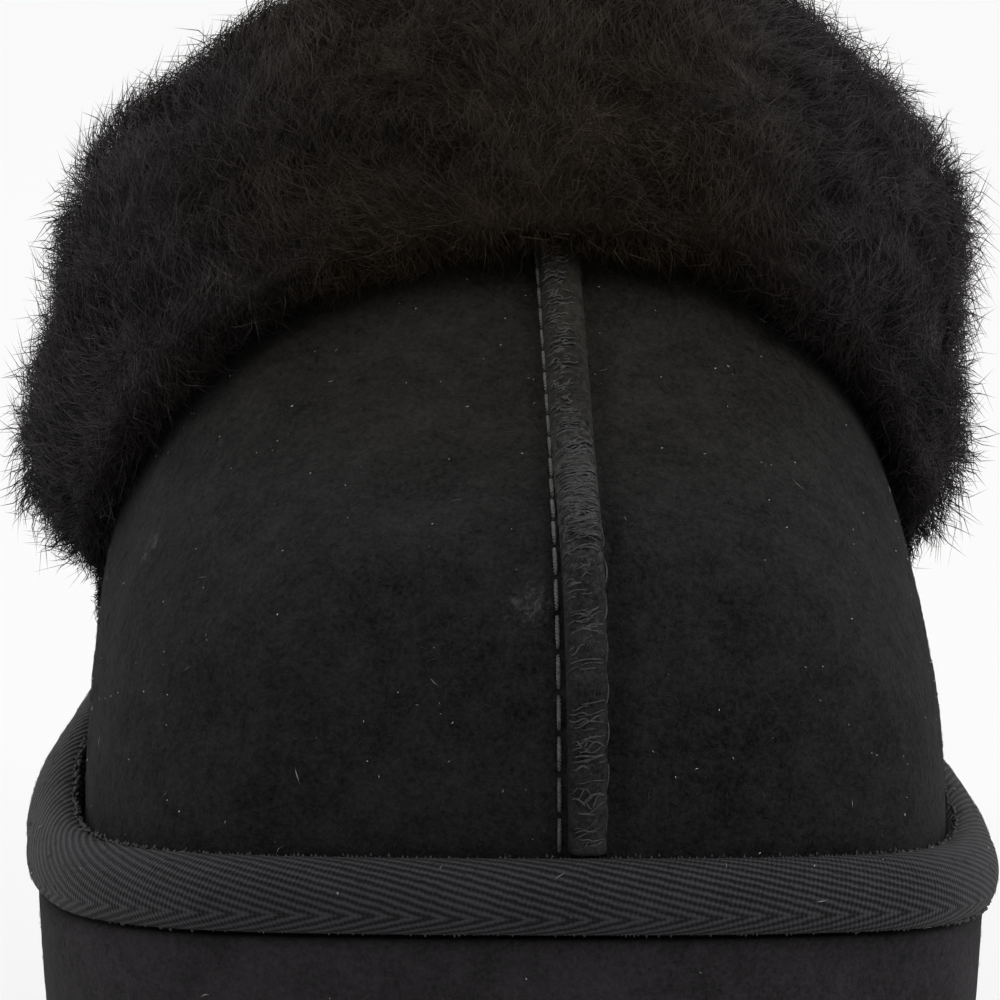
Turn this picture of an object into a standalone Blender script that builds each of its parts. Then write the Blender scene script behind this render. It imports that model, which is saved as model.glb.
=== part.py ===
"""A right-foot scuff slipper on a platform sole, open at the back.

A suede vamp with a raised centre seam stands on the platform. A deep sheepskin collar wraps its
rear edge, a rolled twill binding runs round the footbed, and a sheepskin insole lies inside.

The toe points to -Y, the heel to +Y, the medial (big toe) side to +X, and +Z is up. Shapes are
worked out with y = 0 at the front of the platform, and the finished slipper is then moved so that
the origin is under the middle of its bounding box.
"""

import math

import bmesh
import bpy
import numpy as np

# Sole, seen from above and from the side
SOLE_LENGTH = 0.2584
BALL_WIDTH = 0.1044
FOREFOOT_HEIGHT = 0.0340
HEEL_HEIGHT = 0.0440
TOP_SPRING = 0.0060
TOE_SPRING = 0.0095
HEEL_SPRING = 0.0030
ARCH_RISE = 0.0015

# Outsole
OUTSOLE_PLATE = 0.0026
OUTSOLE_STEP = 0.0006
LUG_HEIGHT = 0.0022
LUG_WIDTH = 0.0088
LUG_PITCH = 0.0128
LUG_BOW = 0.0040
LUG_EDGE = 0.0045
LUG_GROOVE = 0.0032
LUG_ROOT = 0.0007
LUG_DRAFT = 0.92

# Platform side wall
PLATFORM_TUCK = 0.0030
PLATFORM_EDGE = 0.0016

# Binding, a roll of twill tape round the footbed
BINDING_HEIGHT = 0.0082
BINDING_OVERHANG = 0.0018

# Upper
UPPER_INSET = 0.0046
UPPER_WALL = 0.0025
TOE_BOX_DEPTH = 0.0260
TOE_BOX_HEIGHT = 0.0490
VAMP_MIDDLE = 0.0490
VAMP_MIDDLE_HEIGHT = 0.0585
THROAT_FRONT = 0.0720
THROAT_HEIGHT = 0.0684
THROAT_BASE = 0.1420
UPPER_BACK = 0.1240
UPPER_BACK_HEIGHT = 0.0780
UPPER_BACK_BASE = 0.1780
ARCH_POWER = 2.6
TOE_POWER = 3.2
RIDGE_TOE_X = 0.0070
RIDGE_THROAT_X = 0.0053
RIDGE_BLEND = 0.0070

# Raised centre seam
SEAM_WIDTH = 0.0046
SEAM_HEIGHT = 0.0018
SEAM_STEP = 0.0025
SEAM_LIFT = 0.0004
SEAM_START = 0.0009

# Sheepskin collar
COLLAR_PILE = 0.0165
COLLAR_LINING = 0.0060
LOCK_LENGTH = 0.0048
LOCK_TAPER = 0.52
LOCK_SWAY = 0.0015
LOCK_LEAN = 0.0020
WOOL_SHIFT = 0.0008
LOCK_SEED = 11

# Insole
INSOLE_THICKNESS = 0.0060
INSOLE_ROUND = 0.0030

# Curved pieces stand this far apart
GAP = 0.0003
COLLAR_CLEARANCE = 0.00045

LATERAL, MEDIAL = -1, 1

# The platform's edge from above: (share of the length from the toe, share of half the ball width)
PLATFORM_OUTLINE = (
    (0.000, 0.108),
    (0.012, -0.352),
    (0.046, -0.70),
    (0.110, -0.90),
    (0.200, -0.98),
    (0.320, -1.00),
    (0.460, -0.95),
    (0.600, -0.86),
    (0.740, -0.80),
    (0.860, -0.74),
    (0.950, -0.53),
    (1.000, -0.02),
    (0.950, 0.51),
    (0.860, 0.72),
    (0.740, 0.75),
    (0.600, 0.77),
    (0.460, 0.86),
    (0.330, 0.96),
    (0.220, 1.00),
    (0.120, 0.98),
    (0.050, 0.86),
    (0.012, 0.568),
)

# Where the sole leaves the ground and its top starts to rise, as shares of the length
TOE_ROLL = 0.24
HEEL_ROLL = 0.93
ARCH_FRONT, ARCH_BACK = 0.44, 0.68
TOP_ROLL = 0.26
HEEL_RISE_FRONT, HEEL_RISE_BACK = 0.40, 0.86

# The binding's section: (share of its width from the upper outwards, share of its height)
BINDING_SECTION = (
    (0.00, 0.04),
    (0.00, 0.72),
    (0.12, 0.94),
    (0.34, 1.00),
    (0.62, 0.93),
    (0.85, 0.74),
    (1.00, 0.45),
    (0.96, 0.16),
    (0.80, 0.04),
)

# The collar's section, outside the upper and then inside it. A row is (share of the way from the
# throat to the rear edge, share of the pile) on the wool side, the share of the way on the skin
# side, and the length of the locks up to the next row as a share of LOCK_LENGTH.
COLLAR_OUTSIDE = (
    (0.00, 0.12, 0.00, 0.0),
    (-0.11, 0.40, 0.05, 0.9),
    (-0.09, 0.76, 0.12, 1.0),
    (0.12, 1.00, 0.26, 1.0),
    (0.38, 1.06, 0.44, 1.0),
    (0.66, 1.04, 0.66, 1.0),
    (0.92, 0.90, 0.84, 1.0),
    (1.12, 0.58, 0.95, 0.9),
    (1.20, 0.16, 1.00, 0.7),
)
COLLAR_INSIDE = (
    (1.17, 0.40, 1.00, 0.6),
    (1.02, 1.00, 0.93, 0.5),
    (0.84, 0.92, 0.82, 0.0),
    (0.74, 0.40, 0.74, 0.0),
)

# The depth of the wool round the collar, from the footbed up to the ridge: (rise, share of the pile
# on the lateral side, share of it on the medial side)
COLLAR_DEPTH = (
    (0.09, 0.16, 0.14),
    (0.15, 0.20, 0.14),
    (0.25, 0.46, 0.24),
    (0.32, 0.57, 0.36),
    (0.42, 0.68, 0.58),
    (0.65, 0.86, 0.92),
    (0.82, 0.98, 1.06),
    (1.00, 1.06, 1.06),
)

TOE_COLUMNS = 22
HEEL_COLUMNS = 12
ARCH_ROWS = 14
FIRST_RISE = 0.09
THROAT_SWEEP = 2.4


def closed_spline(points, steps):
    """A smooth closed curve through the points: a periodic cubic spline on chord length."""
    after = np.roll(points, -1, axis=0)
    chord = np.linalg.norm(after - points, axis=1)
    chord_before = np.roll(chord, 1)
    count = len(points)
    matrix = np.zeros((count, count))
    for i in range(count):
        matrix[i, i - 1] = chord_before[i]
        matrix[i, i] = 2 * (chord_before[i] + chord[i])
        matrix[i, (i + 1) % count] = chord[i]
    slope = (after - points) / chord[:, None]
    bend = np.linalg.solve(matrix, 6 * (slope - np.roll(slope, 1, axis=0)))
    bend_after = np.roll(bend, -1, axis=0)
    t = np.linspace(0, 1, steps, endpoint=False)[:, None]
    s = 1 - t
    spans = [
        s * points[i]
        + t * after[i]
        + chord[i] ** 2 / 6 * ((s**3 - s) * bend[i] + (t**3 - t) * bend_after[i])
        for i in range(count)
    ]
    return np.concatenate(spans)


class Outline:
    """The platform's edge from above, read by side and by station angle.

    Angle 0 is the tip of the toe and pi the back of the heel. Equal steps of angle fall close
    together at both round ends.
    """

    def __init__(self):
        shares = np.array(PLATFORM_OUTLINE)
        curve = closed_spline(shares[:, ::-1] * (BALL_WIDTH / 2, SOLE_LENGTH), 40)
        low, high = curve.min(axis=0), curve.max(axis=0)
        curve[:, 0] *= BALL_WIDTH / (high[0] - low[0])
        curve[:, 1] = (curve[:, 1] - low[1]) * SOLE_LENGTH / (high[1] - low[1])
        curve = np.roll(curve, -int(curve[:, 1].argmin()), axis=0)
        along = np.roll(curve, -1, axis=0) - np.roll(curve, 1, axis=0)
        along /= np.linalg.norm(along, axis=1)[:, None]
        outward = np.stack([-along[:, 1], along[:, 0]], axis=1)
        if outward[0, 1] > 0:
            outward = -outward
        table = np.concatenate([curve, outward], axis=1)
        heel = int(curve[:, 1].argmax())
        self.runs = {
            LATERAL: table[: heel + 1],
            MEDIAL: np.concatenate([table[:1], table[: heel - 1 : -1]]),
        }

    def reach(self, side, y, out):
        """The edge's x at a distance y behind the toe, at this distance outside the edge."""
        x, run_y, out_x, out_y = self.runs[side].T
        return np.interp(y, np.maximum.accumulate(run_y + out * out_y), x + out * out_x)

    def at(self, side, angle, out):
        """Plan points at this distance outside the edge."""
        run = self.runs[side]
        places = np.arange(len(run))
        y = SOLE_LENGTH * (1 - np.cos(angle)) / 2
        place = np.interp(y, np.maximum.accumulate(run[:, 1]), places)
        x, y, out_x, out_y = (np.interp(place, places, run[:, i]) for i in range(4))
        return x + out * out_x, y + out * out_y


OUTLINE = Outline()


def station_angle(y):
    """The station angle at a distance y behind the tip of the toe."""
    return np.arccos(np.clip(1 - 2 * np.asarray(y) / SOLE_LENGTH, -1, 1))


BACK_ANGLE = float(station_angle(UPPER_BACK_BASE))
STATIONS = np.concatenate(
    [
        np.linspace(0, BACK_ANGLE, TOE_COLUMNS + 1),
        np.linspace(BACK_ANGLE, math.pi, HEEL_COLUMNS + 1)[1:],
    ]
)
RISES = np.concatenate([[0], np.linspace(FIRST_RISE, 1, ARCH_ROWS)])


def ease(t):
    t = np.clip(t, 0, 1)
    return t * t * (3 - 2 * t)


def rolled(y, start, end, lift):
    """Zero up to start, then a parabola that reaches lift at end."""
    return lift * np.clip((y - start) / (end - start), 0, 1) ** 2


def ground_line(y):
    """Height of the tread's face: flat under the ball and the heel."""
    toe = rolled(y, TOE_ROLL * SOLE_LENGTH, 0, TOE_SPRING)
    heel = rolled(y, HEEL_ROLL * SOLE_LENGTH, SOLE_LENGTH, HEEL_SPRING)
    share = np.clip((y / SOLE_LENGTH - ARCH_FRONT) / (ARCH_BACK - ARCH_FRONT), 0, 1)
    return toe + heel + ARCH_RISE * np.sin(math.pi * share) ** 2


def plate_bottom(y):
    return ground_line(y) + LUG_HEIGHT


def plate_top(y):
    return plate_bottom(y) + OUTSOLE_PLATE


def top_line(y):
    """Height of the platform's top, where the upper and the insole stand."""
    share = (y / SOLE_LENGTH - HEEL_RISE_FRONT) / (HEEL_RISE_BACK - HEEL_RISE_FRONT)
    rise = (HEEL_HEIGHT - FOREFOOT_HEIGHT) * ease(share)
    return FOREFOOT_HEIGHT + rise + rolled(y, TOP_ROLL * SOLE_LENGTH, 0, TOP_SPRING)


CROWN = np.polyfit(
    [TOE_BOX_DEPTH, VAMP_MIDDLE, THROAT_FRONT, UPPER_BACK],
    [TOE_BOX_HEIGHT, VAMP_MIDDLE_HEIGHT, THROAT_HEIGHT, UPPER_BACK_HEIGHT],
    3,
)


def crown_line(y):
    """Height of the vamp's ridge, seen from the side."""
    return FOREFOOT_HEIGHT + np.polyval(CROWN, y)


def ridge_x(y):
    share = (y - TOE_BOX_DEPTH) / (THROAT_FRONT - TOE_BOX_DEPTH)
    return RIDGE_TOE_X + (RIDGE_THROAT_X - RIDGE_TOE_X) * np.clip(share, 0, 2)


def upper_point(side, angle, rise, out):
    """A point of the form that the upper is lasted on.

    Its ribs run from the footbed's edge, where rise is 0, to the ridge, where rise is 1. Behind
    the toe box they are cross sections. At the toe they fan out from the ridge's front end. out
    is the distance outside the suede's outer face.
    """
    edge_x, edge_y = OUTLINE.at(side, angle, out - UPPER_INSET)
    station = SOLE_LENGTH * (1 - np.cos(angle)) / 2
    behind = (station - TOE_BOX_DEPTH) / RIDGE_BLEND
    ridge_y = TOE_BOX_DEPTH + RIDGE_BLEND * np.logaddexp(0, behind)
    power = TOE_POWER + (ARCH_POWER - TOE_POWER) * ease(station / TOE_BOX_DEPTH)
    spread = np.cos(rise * math.pi / 2).clip(0) ** (2 / power)
    height = np.sin(rise * math.pi / 2) ** (2 / power)
    x = ridge_x(ridge_y) + spread * (edge_x - ridge_x(ridge_y))
    y = ridge_y + spread * (edge_y - ridge_y)
    base = top_line(y) + GAP
    z = base + (crown_line(y) + out - base) * height
    return np.stack(np.broadcast_arrays(x, y, z), axis=-1)


def swept(rise, crown_y, base_y):
    """Distance behind the toe of a line that leans back from the ridge to the footbed."""
    height = np.sin(rise * math.pi / 2) ** (2 / ARCH_POWER)
    return crown_y + (base_y - crown_y) * (1 - height) ** THROAT_SWEEP


def throat_line(rise):
    return swept(rise, THROAT_FRONT, THROAT_BASE)


def back_line(rise):
    return swept(rise, UPPER_BACK, UPPER_BACK_BASE)


def solid(name, points, loops, material, collection):
    """A closed mesh object, its faces pointing out and its round stretches shaded smooth."""
    bm = bmesh.new()
    verts = [bm.verts.new(p) for p in points]
    for loop in loops:
        bm.faces.new([verts[i] for i in loop])
    bmesh.ops.delete(bm, geom=[v for v in bm.verts if not v.link_faces], context="VERTS")
    bmesh.ops.recalc_face_normals(bm, faces=bm.faces)
    mesh = bpy.data.meshes.new(name)
    bm.to_mesh(mesh)
    bm.free()
    mesh.materials.append(material)
    mesh.shade_smooth()
    mesh.set_sharp_from_angle(angle=math.radians(40))
    obj = bpy.data.objects.new(name, mesh)
    collection.objects.link(obj)
    return obj


def corners(*loop):
    """A face by point numbers. Where two of them are the same, it has a corner less."""
    return tuple(dict.fromkeys(int(i) for i in loop))


def around(out, height):
    """A ring of points round the sole, from the toe down the lateral side and up the medial one."""
    runs = []
    for side, angles in ((LATERAL, STATIONS), (MEDIAL, STATIONS[-2:0:-1])):
        distance = out(OUTLINE.at(side, angles, 0)[1]) if callable(out) else out
        x, y = OUTLINE.at(side, angles, distance)
        runs.append(np.stack([x, y, height(y)], axis=-1))
    return np.concatenate(runs)


def slab(name, levels, material, collection):
    """A closed solid through rings round the sole, from the lowest up, capped straight across."""
    rings = [around(out, height) for out, height in levels]
    count = len(rings[0])
    last = count * (len(rings) - 1)
    walls = [
        corners(a + k, a + (k + 1) % count, a + count + (k + 1) % count, a + count + k)
        for a in range(0, last, count)
        for k in range(count)
    ]
    caps = [
        corners(a + k, a + k + 1, a + count - k - 1, a + (count - k) % count)
        for a in (0, last)
        for k in range(count // 2)
    ]
    return solid(name, np.concatenate(rings), walls + caps, material, collection)


def thick_sheet(outer, inner):
    """The points and faces of a closed solid between two grids, and the outer grid's cells.

    Where two points of the outer grid meet, both grids are joined there.
    """
    rows, columns = outer.shape[:2]
    size = rows * columns
    points = np.concatenate([outer.reshape(-1, 3), inner.reshape(-1, 3)])
    keys = np.round(points[:size], 7)
    _, first, place = np.unique(keys, axis=0, return_index=True, return_inverse=True)
    number = first[place.reshape(-1)].reshape(rows, columns)
    cells = {
        (r, c): corners(number[r, c], number[r, c + 1], number[r + 1, c + 1], number[r + 1, c])
        for r in range(rows - 1)
        for c in range(columns - 1)
    }
    edges = [(a, b) for loop in cells.values() for a, b in zip(loop, loop[1:] + loop[:1])]
    known = set(edges)
    rim = [(a, b, b + size, a + size) for a, b in edges if (b, a) not in known]
    inside = [tuple(i + size for i in loop) for loop in cells.values()]
    return points, inside + rim, cells


def make_material(name, colour, roughness):
    material = bpy.data.materials.new(name)
    material.use_nodes = True
    shader = material.node_tree.nodes["Principled BSDF"]
    shader.inputs["Base Color"].default_value = (*colour, 1)
    shader.inputs["Roughness"].default_value = roughness
    shader.inputs["Metallic"].default_value = 0
    return material


def lug(side, middle):
    """One tread bar from the middle groove to the sole's edge, bowed towards the toe."""
    steps = np.linspace(0, 1, 4)
    plan = []
    for y in (middle - LUG_WIDTH / 2, middle + LUG_WIDTH / 2):
        bowed = y + LUG_BOW * steps**2
        edge = abs(OUTLINE.reach(side, bowed[-1], -PLATFORM_TUCK - LUG_EDGE))
        x = side * (LUG_GROOVE / 2 + steps * (edge - LUG_GROOVE / 2))
        plan.append(np.stack([x, bowed], axis=-1))
    plan = np.concatenate([plan[0], plan[1][::-1]])
    centre = plan.mean(axis=0)
    face = centre + LUG_DRAFT * (plan - centre)
    low = np.column_stack([face, ground_line(face[:, 1])])
    high = np.column_stack([plan, plate_bottom(plan[:, 1]) + LUG_ROOT])
    count = len(plan)
    walls = [(k, (k + 1) % count, (k + 1) % count + count, k + count) for k in range(count)]
    ends = [
        (a + k, a + k + 1, a + count - k - 2, a + count - k - 1)
        for a in (0, count)
        for k in range(count // 2 - 1)
    ]
    return np.concatenate([low, high]), walls + ends


def make_outsole(material, collection, helpers):
    """A rubber plate with two rows of tread bars."""
    plate = slab(
        "outsole",
        [
            (-PLATFORM_TUCK - OUTSOLE_STEP, plate_bottom),
            (-PLATFORM_TUCK + OUTSOLE_STEP, lambda y: plate_bottom(y) + OUTSOLE_PLATE / 3),
            (-PLATFORM_TUCK + OUTSOLE_STEP, plate_top),
        ],
        material,
        collection,
    )
    points, loops = [], []
    first, last = LUG_PITCH, SOLE_LENGTH - LUG_PITCH - LUG_BOW
    for middle in np.linspace(first, last, int((last - first) / LUG_PITCH) + 1):
        for side in (LATERAL, MEDIAL):
            bar, faces = lug(side, middle)
            loops += [tuple(i + len(points) for i in face) for face in faces]
            points += list(bar)
    tread = solid("tread", points, loops, material, helpers)
    tread.hide_render = True
    tread.display_type = "WIRE"
    joined = plate.modifiers.new("tread", "BOOLEAN")
    joined.operation = "UNION"
    joined.solver = "EXACT"
    joined.object = tread
    return plate


def make_platform(material, collection):
    """The suede-covered foam platform, tucked in towards the outsole."""

    def level(share):
        return lambda y: plate_top(y) + GAP + share * (top_line(y) - plate_top(y) - GAP)

    return slab(
        "platform",
        [
            (-PLATFORM_TUCK - PLATFORM_EDGE / 2, level(0)),
            (-PLATFORM_TUCK + PLATFORM_EDGE / 4, level(0.06)),
            (-PLATFORM_TUCK / 3, level(0.45)),
            (0, lambda y: top_line(y) - PLATFORM_EDGE),
            (-PLATFORM_EDGE / 2, top_line),
        ],
        material,
        collection,
    )


def insole_out(y):
    """The insole's edge lies inside the upper's wall, then inside the binding behind it."""
    beside_wall = -UPPER_INSET - UPPER_WALL - GAP
    share = (y - UPPER_BACK_BASE - UPPER_WALL) / (2 * UPPER_WALL)
    return beside_wall + (-UPPER_INSET - beside_wall) * ease(share)


def make_insole(material, collection):
    """The sheepskin footbed, with a rounded top edge."""

    def level(height):
        return lambda y: top_line(y) + GAP + height

    def inside(distance):
        return lambda y: insole_out(y) - distance

    return slab(
        "insole",
        [
            (insole_out, level(0)),
            (insole_out, level(INSOLE_THICKNESS - INSOLE_ROUND)),
            (inside(0.3 * INSOLE_ROUND), level(INSOLE_THICKNESS - 0.3 * INSOLE_ROUND)),
            (inside(INSOLE_ROUND), level(INSOLE_THICKNESS)),
        ],
        material,
        collection,
    )


def make_binding(material, collection):
    """The rolled twill tape that covers the joint of upper and platform, all the way round."""
    inner = -UPPER_INSET + GAP
    width = BINDING_OVERHANG - inner

    def level(up):
        return lambda y: top_line(y) + GAP + up * BINDING_HEIGHT

    rings = [around(inner + across * width, level(up)) for across, up in BINDING_SECTION]
    rows, count = len(rings), len(rings[0])
    loops = [
        (
            r * count + k,
            r * count + (k + 1) % count,
            (r + 1) % rows * count + (k + 1) % count,
            (r + 1) % rows * count + k,
        )
        for r in range(rows)
        for k in range(count)
    ]
    return solid("binding", np.concatenate(rings), loops, material, collection)


def make_upper(material, collection):
    """The suede vamp: one wall over the toe and instep, open underneath and at the back."""
    rise = RISES[:, None]
    angle = np.linspace(0, 1, TOE_COLUMNS + 1) * station_angle(back_line(rise))

    def skin(out):
        lateral = upper_point(LATERAL, angle, rise, out)
        medial = upper_point(MEDIAL, angle, rise, out)
        return np.concatenate([lateral[:, :0:-1], medial], axis=1)

    points, loops, cells = thick_sheet(skin(0), skin(-UPPER_WALL))
    return solid("upper", points, loops + list(cells.values()), material, collection)


def toe_rise(share):
    """The rise at which the rib on the toe's tip reaches this share of its height."""
    return 2 / math.pi * np.arcsin(share ** (TOE_POWER / 2))


def make_seam(material, collection):
    """The raised seam: up the toe from the binding, then along the ridge to the throat."""
    height = crown_line(UPPER_INSET) - top_line(UPPER_INSET)
    start = toe_rise((BINDING_HEIGHT + SEAM_START) / height)
    rises = np.concatenate([[start], RISES[RISES > start + 0.02]])
    front = upper_point(MEDIAL, 0.0, rises, 0)[-1, 1]
    end = throat_line(1.0) - GAP
    ridge = np.linspace(front, end, int((end - front) / (2 * SEAM_STEP)) + 1)[1:]
    stations = TOE_BOX_DEPTH + RIDGE_BLEND * np.log(np.expm1((ridge - TOE_BOX_DEPTH) / RIDGE_BLEND))
    angles = np.concatenate([np.zeros(len(rises)), station_angle(stations)])
    rises = np.concatenate([rises, np.ones(len(ridge))])
    path = upper_point(MEDIAL, angles, rises, 0)
    outward = upper_point(MEDIAL, angles, rises, 0.001) - path
    along = np.gradient(path, axis=0)
    across = np.cross(along, outward)
    across /= np.linalg.norm(across, axis=1)[:, None]
    outward = np.cross(across, along)
    outward /= np.linalg.norm(outward, axis=1)[:, None]
    profile = ((-1, 0), (-0.86, 0.72), (0, 1), (0.86, 0.72), (1, 0))
    rings = [
        path + side * SEAM_WIDTH / 2 * across + (SEAM_LIFT + up * SEAM_HEIGHT) * outward
        for side, up in profile
    ]
    count, rows = len(path), len(rings)
    loops = [
        (r * count + k, r * count + k + 1, (r + 1) % rows * count + k + 1, (r + 1) % rows * count + k)
        for r in range(rows)
        for k in range(count - 1)
    ]
    loops += [tuple(r * count for r in range(rows)), tuple(r * count + count - 1 for r in range(rows))]
    return solid("centre_seam", np.concatenate(rings), loops, material, collection)


def collar_grids():
    """The collar's wool side and skin side, row by row from the throat round the rear edge."""
    rises = np.concatenate([RISES[1:], RISES[-2:0:-1]])
    middle = len(RISES) - 2
    depth = np.array(COLLAR_DEPTH)
    lateral_pile = np.interp(rises[: middle + 1], depth[:, 0], depth[:, 1])
    medial_pile = np.interp(rises[middle + 1 :], depth[:, 0], depth[:, 2])
    pile = COLLAR_PILE * np.concatenate([lateral_pile, medial_pile])
    throat = throat_line(rises)
    way = back_line(rises) + GAP - throat

    def row(share, out):
        angle = station_angle(throat + share * way)
        lateral = upper_point(LATERAL, angle[: middle + 1], rises[: middle + 1], out[: middle + 1])
        medial = upper_point(MEDIAL, angle[middle + 1 :], rises[middle + 1 :], out[middle + 1 :])
        return np.concatenate([lateral, medial])

    over = np.full(len(rises), COLLAR_CLEARANCE)
    under = np.full(len(rises), -UPPER_WALL - GAP)
    wool = [row(share, over + up * pile) for share, up, _, _ in COLLAR_OUTSIDE]
    skin = [row(share, over) for _, _, share, _ in COLLAR_OUTSIDE]
    wool += [row(share, under - up * COLLAR_LINING) for share, up, _, _ in COLLAR_INSIDE]
    skin += [row(share, under) for _, _, share, _ in COLLAR_INSIDE]
    return np.array(wool), np.array(skin)


def make_collar(material, collection):
    """The sheepskin collar, one solid with a lock of wool fused on each cell of its wool side."""
    wool, skin = collar_grids()
    chance = np.random.default_rng(LOCK_SEED)
    wool[1:-1, 1:-1] += chance.normal(0, WOOL_SHIFT, wool[1:-1, 1:-1].shape)
    points, loops, cells = thick_sheet(wool, skin)
    lengths = [row[3] for row in COLLAR_OUTSIDE + COLLAR_INSIDE]
    columns = wool.shape[1]
    extra = []
    for (r, c), loop in cells.items():
        length = lengths[r] * LOCK_LENGTH * chance.uniform(0.6, 1.2)
        back = wool[r + 1, c] - wool[r, c]
        sway = chance.normal(0, LOCK_SWAY, 3) + LOCK_LEAN * back / np.linalg.norm(back)
        if not length:
            loops.append(loop)
            continue
        ring = points[list(loop)]
        centre = ring.mean(axis=0)
        root = points[[i + wool.shape[0] * columns for i in loop]].mean(axis=0)
        outward = np.cross(ring[2] - ring[0], ring[3] - ring[1])
        outward *= np.sign(outward @ (centre - root)) / np.linalg.norm(outward)
        length *= ease((min(c, columns - 2 - c) + 1.5) / 4)
        sway -= outward * (sway @ outward)
        neck = centre + LOCK_TAPER * (ring - centre) + 0.55 * length * outward + 0.4 * sway
        tip = centre + length * outward + sway
        base = len(points) + len(extra)
        extra += [*neck, tip]
        for k in range(4):
            loops.append((loop[k], loop[(k + 1) % 4], base + (k + 1) % 4, base + k))
            loops.append((base + k, base + (k + 1) % 4, base + 4))
    return solid("collar", np.concatenate([points, extra]), loops, material, collection)


def rest_on_floor(objects):
    """Moves all pieces so that the origin is under the middle of their bounding box."""
    points = np.concatenate([np.array([v.co for v in obj.data.vertices]) for obj in objects])
    low, high = points.min(axis=0), points.max(axis=0)
    shift = np.array([-(low[0] + high[0]) / 2, -(low[1] + high[1]) / 2, 0])
    for obj in objects:
        for vertex in obj.data.vertices:
            vertex.co = np.array(vertex.co) + shift


def build():
    for obj in list(bpy.data.objects):
        bpy.data.objects.remove(obj)
    collection = bpy.context.scene.collection
    helpers = bpy.data.collections.new("helpers")
    collection.children.link(helpers)
    rubber = make_material("rubber", (0.022, 0.021, 0.021), 0.70)
    cover = make_material("platform suede", (0.018, 0.017, 0.018), 0.95)
    wool = make_material("sheepskin wool", (0.015, 0.012, 0.011), 0.95)
    suede = make_material("suede", (0.016, 0.016, 0.016), 0.95)
    thread = make_material("thread", (0.026, 0.026, 0.028), 0.80)
    twill = make_material("twill tape", (0.022, 0.021, 0.024), 0.85)

    make_outsole(rubber, collection, helpers)
    make_platform(cover, collection)
    make_insole(wool, collection)
    make_binding(twill, collection)
    make_upper(suede, collection)
    make_seam(thread, collection)
    make_collar(wool, collection)
    rest_on_floor(list(bpy.data.objects))


build()
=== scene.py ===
"""The looks of a right-foot scuff slipper: suede vamp, raised centre seam, sheepskin collar,
herringbone twill binding, suede-covered platform, sheepskin insole and rubber tread."""

import math

import bpy
import numpy as np
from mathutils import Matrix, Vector, kdtree, noise


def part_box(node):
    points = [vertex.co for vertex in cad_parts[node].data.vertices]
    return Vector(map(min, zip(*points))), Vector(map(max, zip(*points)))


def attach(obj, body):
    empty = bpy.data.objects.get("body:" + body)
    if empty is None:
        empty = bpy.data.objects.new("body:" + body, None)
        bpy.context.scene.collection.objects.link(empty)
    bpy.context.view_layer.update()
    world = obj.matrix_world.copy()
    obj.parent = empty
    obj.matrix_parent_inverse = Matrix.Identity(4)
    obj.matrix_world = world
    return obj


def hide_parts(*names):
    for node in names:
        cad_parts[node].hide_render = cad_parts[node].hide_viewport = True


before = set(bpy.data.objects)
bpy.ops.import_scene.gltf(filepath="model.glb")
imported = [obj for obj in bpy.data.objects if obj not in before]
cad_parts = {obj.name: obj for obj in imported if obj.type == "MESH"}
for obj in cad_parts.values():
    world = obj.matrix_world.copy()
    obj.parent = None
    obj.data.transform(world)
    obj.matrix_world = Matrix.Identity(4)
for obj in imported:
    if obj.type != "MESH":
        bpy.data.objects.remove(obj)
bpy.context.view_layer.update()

# Sizes that the fine pieces share with the solids they stand for, in metres
SOLE_LENGTH = 0.2584
BALL_WIDTH = 0.1044
FOREFOOT_HEIGHT = 0.0340
HEEL_HEIGHT = 0.0440
TOP_SPRING = 0.0060
TOE_SPRING = 0.0095
HEEL_SPRING = 0.0030
ARCH_RISE = 0.0015
PLATE_TOP = 0.0048
PLATFORM_TUCK = 0.0030
PLATFORM_EDGE = 0.0016
BINDING_HEIGHT = 0.0082
BINDING_OVERHANG = 0.0018
UPPER_INSET = 0.0046
UPPER_WALL = 0.0025
TOE_BOX_DEPTH = 0.0260
TOE_BOX_HEIGHT = 0.0490
VAMP_MIDDLE = 0.0490
VAMP_MIDDLE_HEIGHT = 0.0585
THROAT_FRONT = 0.0720
THROAT_HEIGHT = 0.0684
THROAT_BASE = 0.1420
UPPER_BACK = 0.1240
UPPER_BACK_HEIGHT = 0.0780
UPPER_BACK_BASE = 0.1780
ARCH_POWER = 2.6
TOE_POWER = 3.2
RIDGE_TOE_X = 0.0070
RIDGE_THROAT_X = 0.0053
RIDGE_BLEND = 0.0070
SEAM_WIDTH = 0.0046
SEAM_HEIGHT = 0.0018
GAP = 0.0003
THROAT_SWEEP = 2.4

# How finely the smooth pieces are divided
VAMP_COLUMNS = 96
VAMP_ROWS = 64
RING_STATIONS = 170
OUTLINE_STEPS = 40
PROFILE_STEPS = 5
SEAM_STEP = 0.0005

# Where the random draws start. Without it Blender's vector noise starts from the clock.
SEED = 20
noise.seed_set(SEED)

# Camera and light
CAMERA_ELEVATION = 10.0
CAMERA_DISTANCE = 0.95
CAMERA_AIM = (-0.0002, 0.0, 0.0634)
CAMERA_LENS = 288.0
CAMERA_SENSOR = 36.0
BACKGROUND = 0.94
FLOOR_HALF = 6.0
FLOOR_TONE = 0.06
FLOOR_GLOW = 0.822
LIGHT_AIM = (0, -0.03, 0.07)

# (name, place, width and height, watts)
STUDIO_LIGHTS = (
    ("top softbox", (0.0, -0.15, 1.0), (0.9, 0.9), 3.6),
    ("left softbox", (-0.9, 0.25, 0.40), (0.5, 0.8), 3.2),
    ("right softbox", (0.9, -0.20, 0.40), (0.5, 0.8), 5.6),
)

LATERAL, MEDIAL = -1, 1

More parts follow.
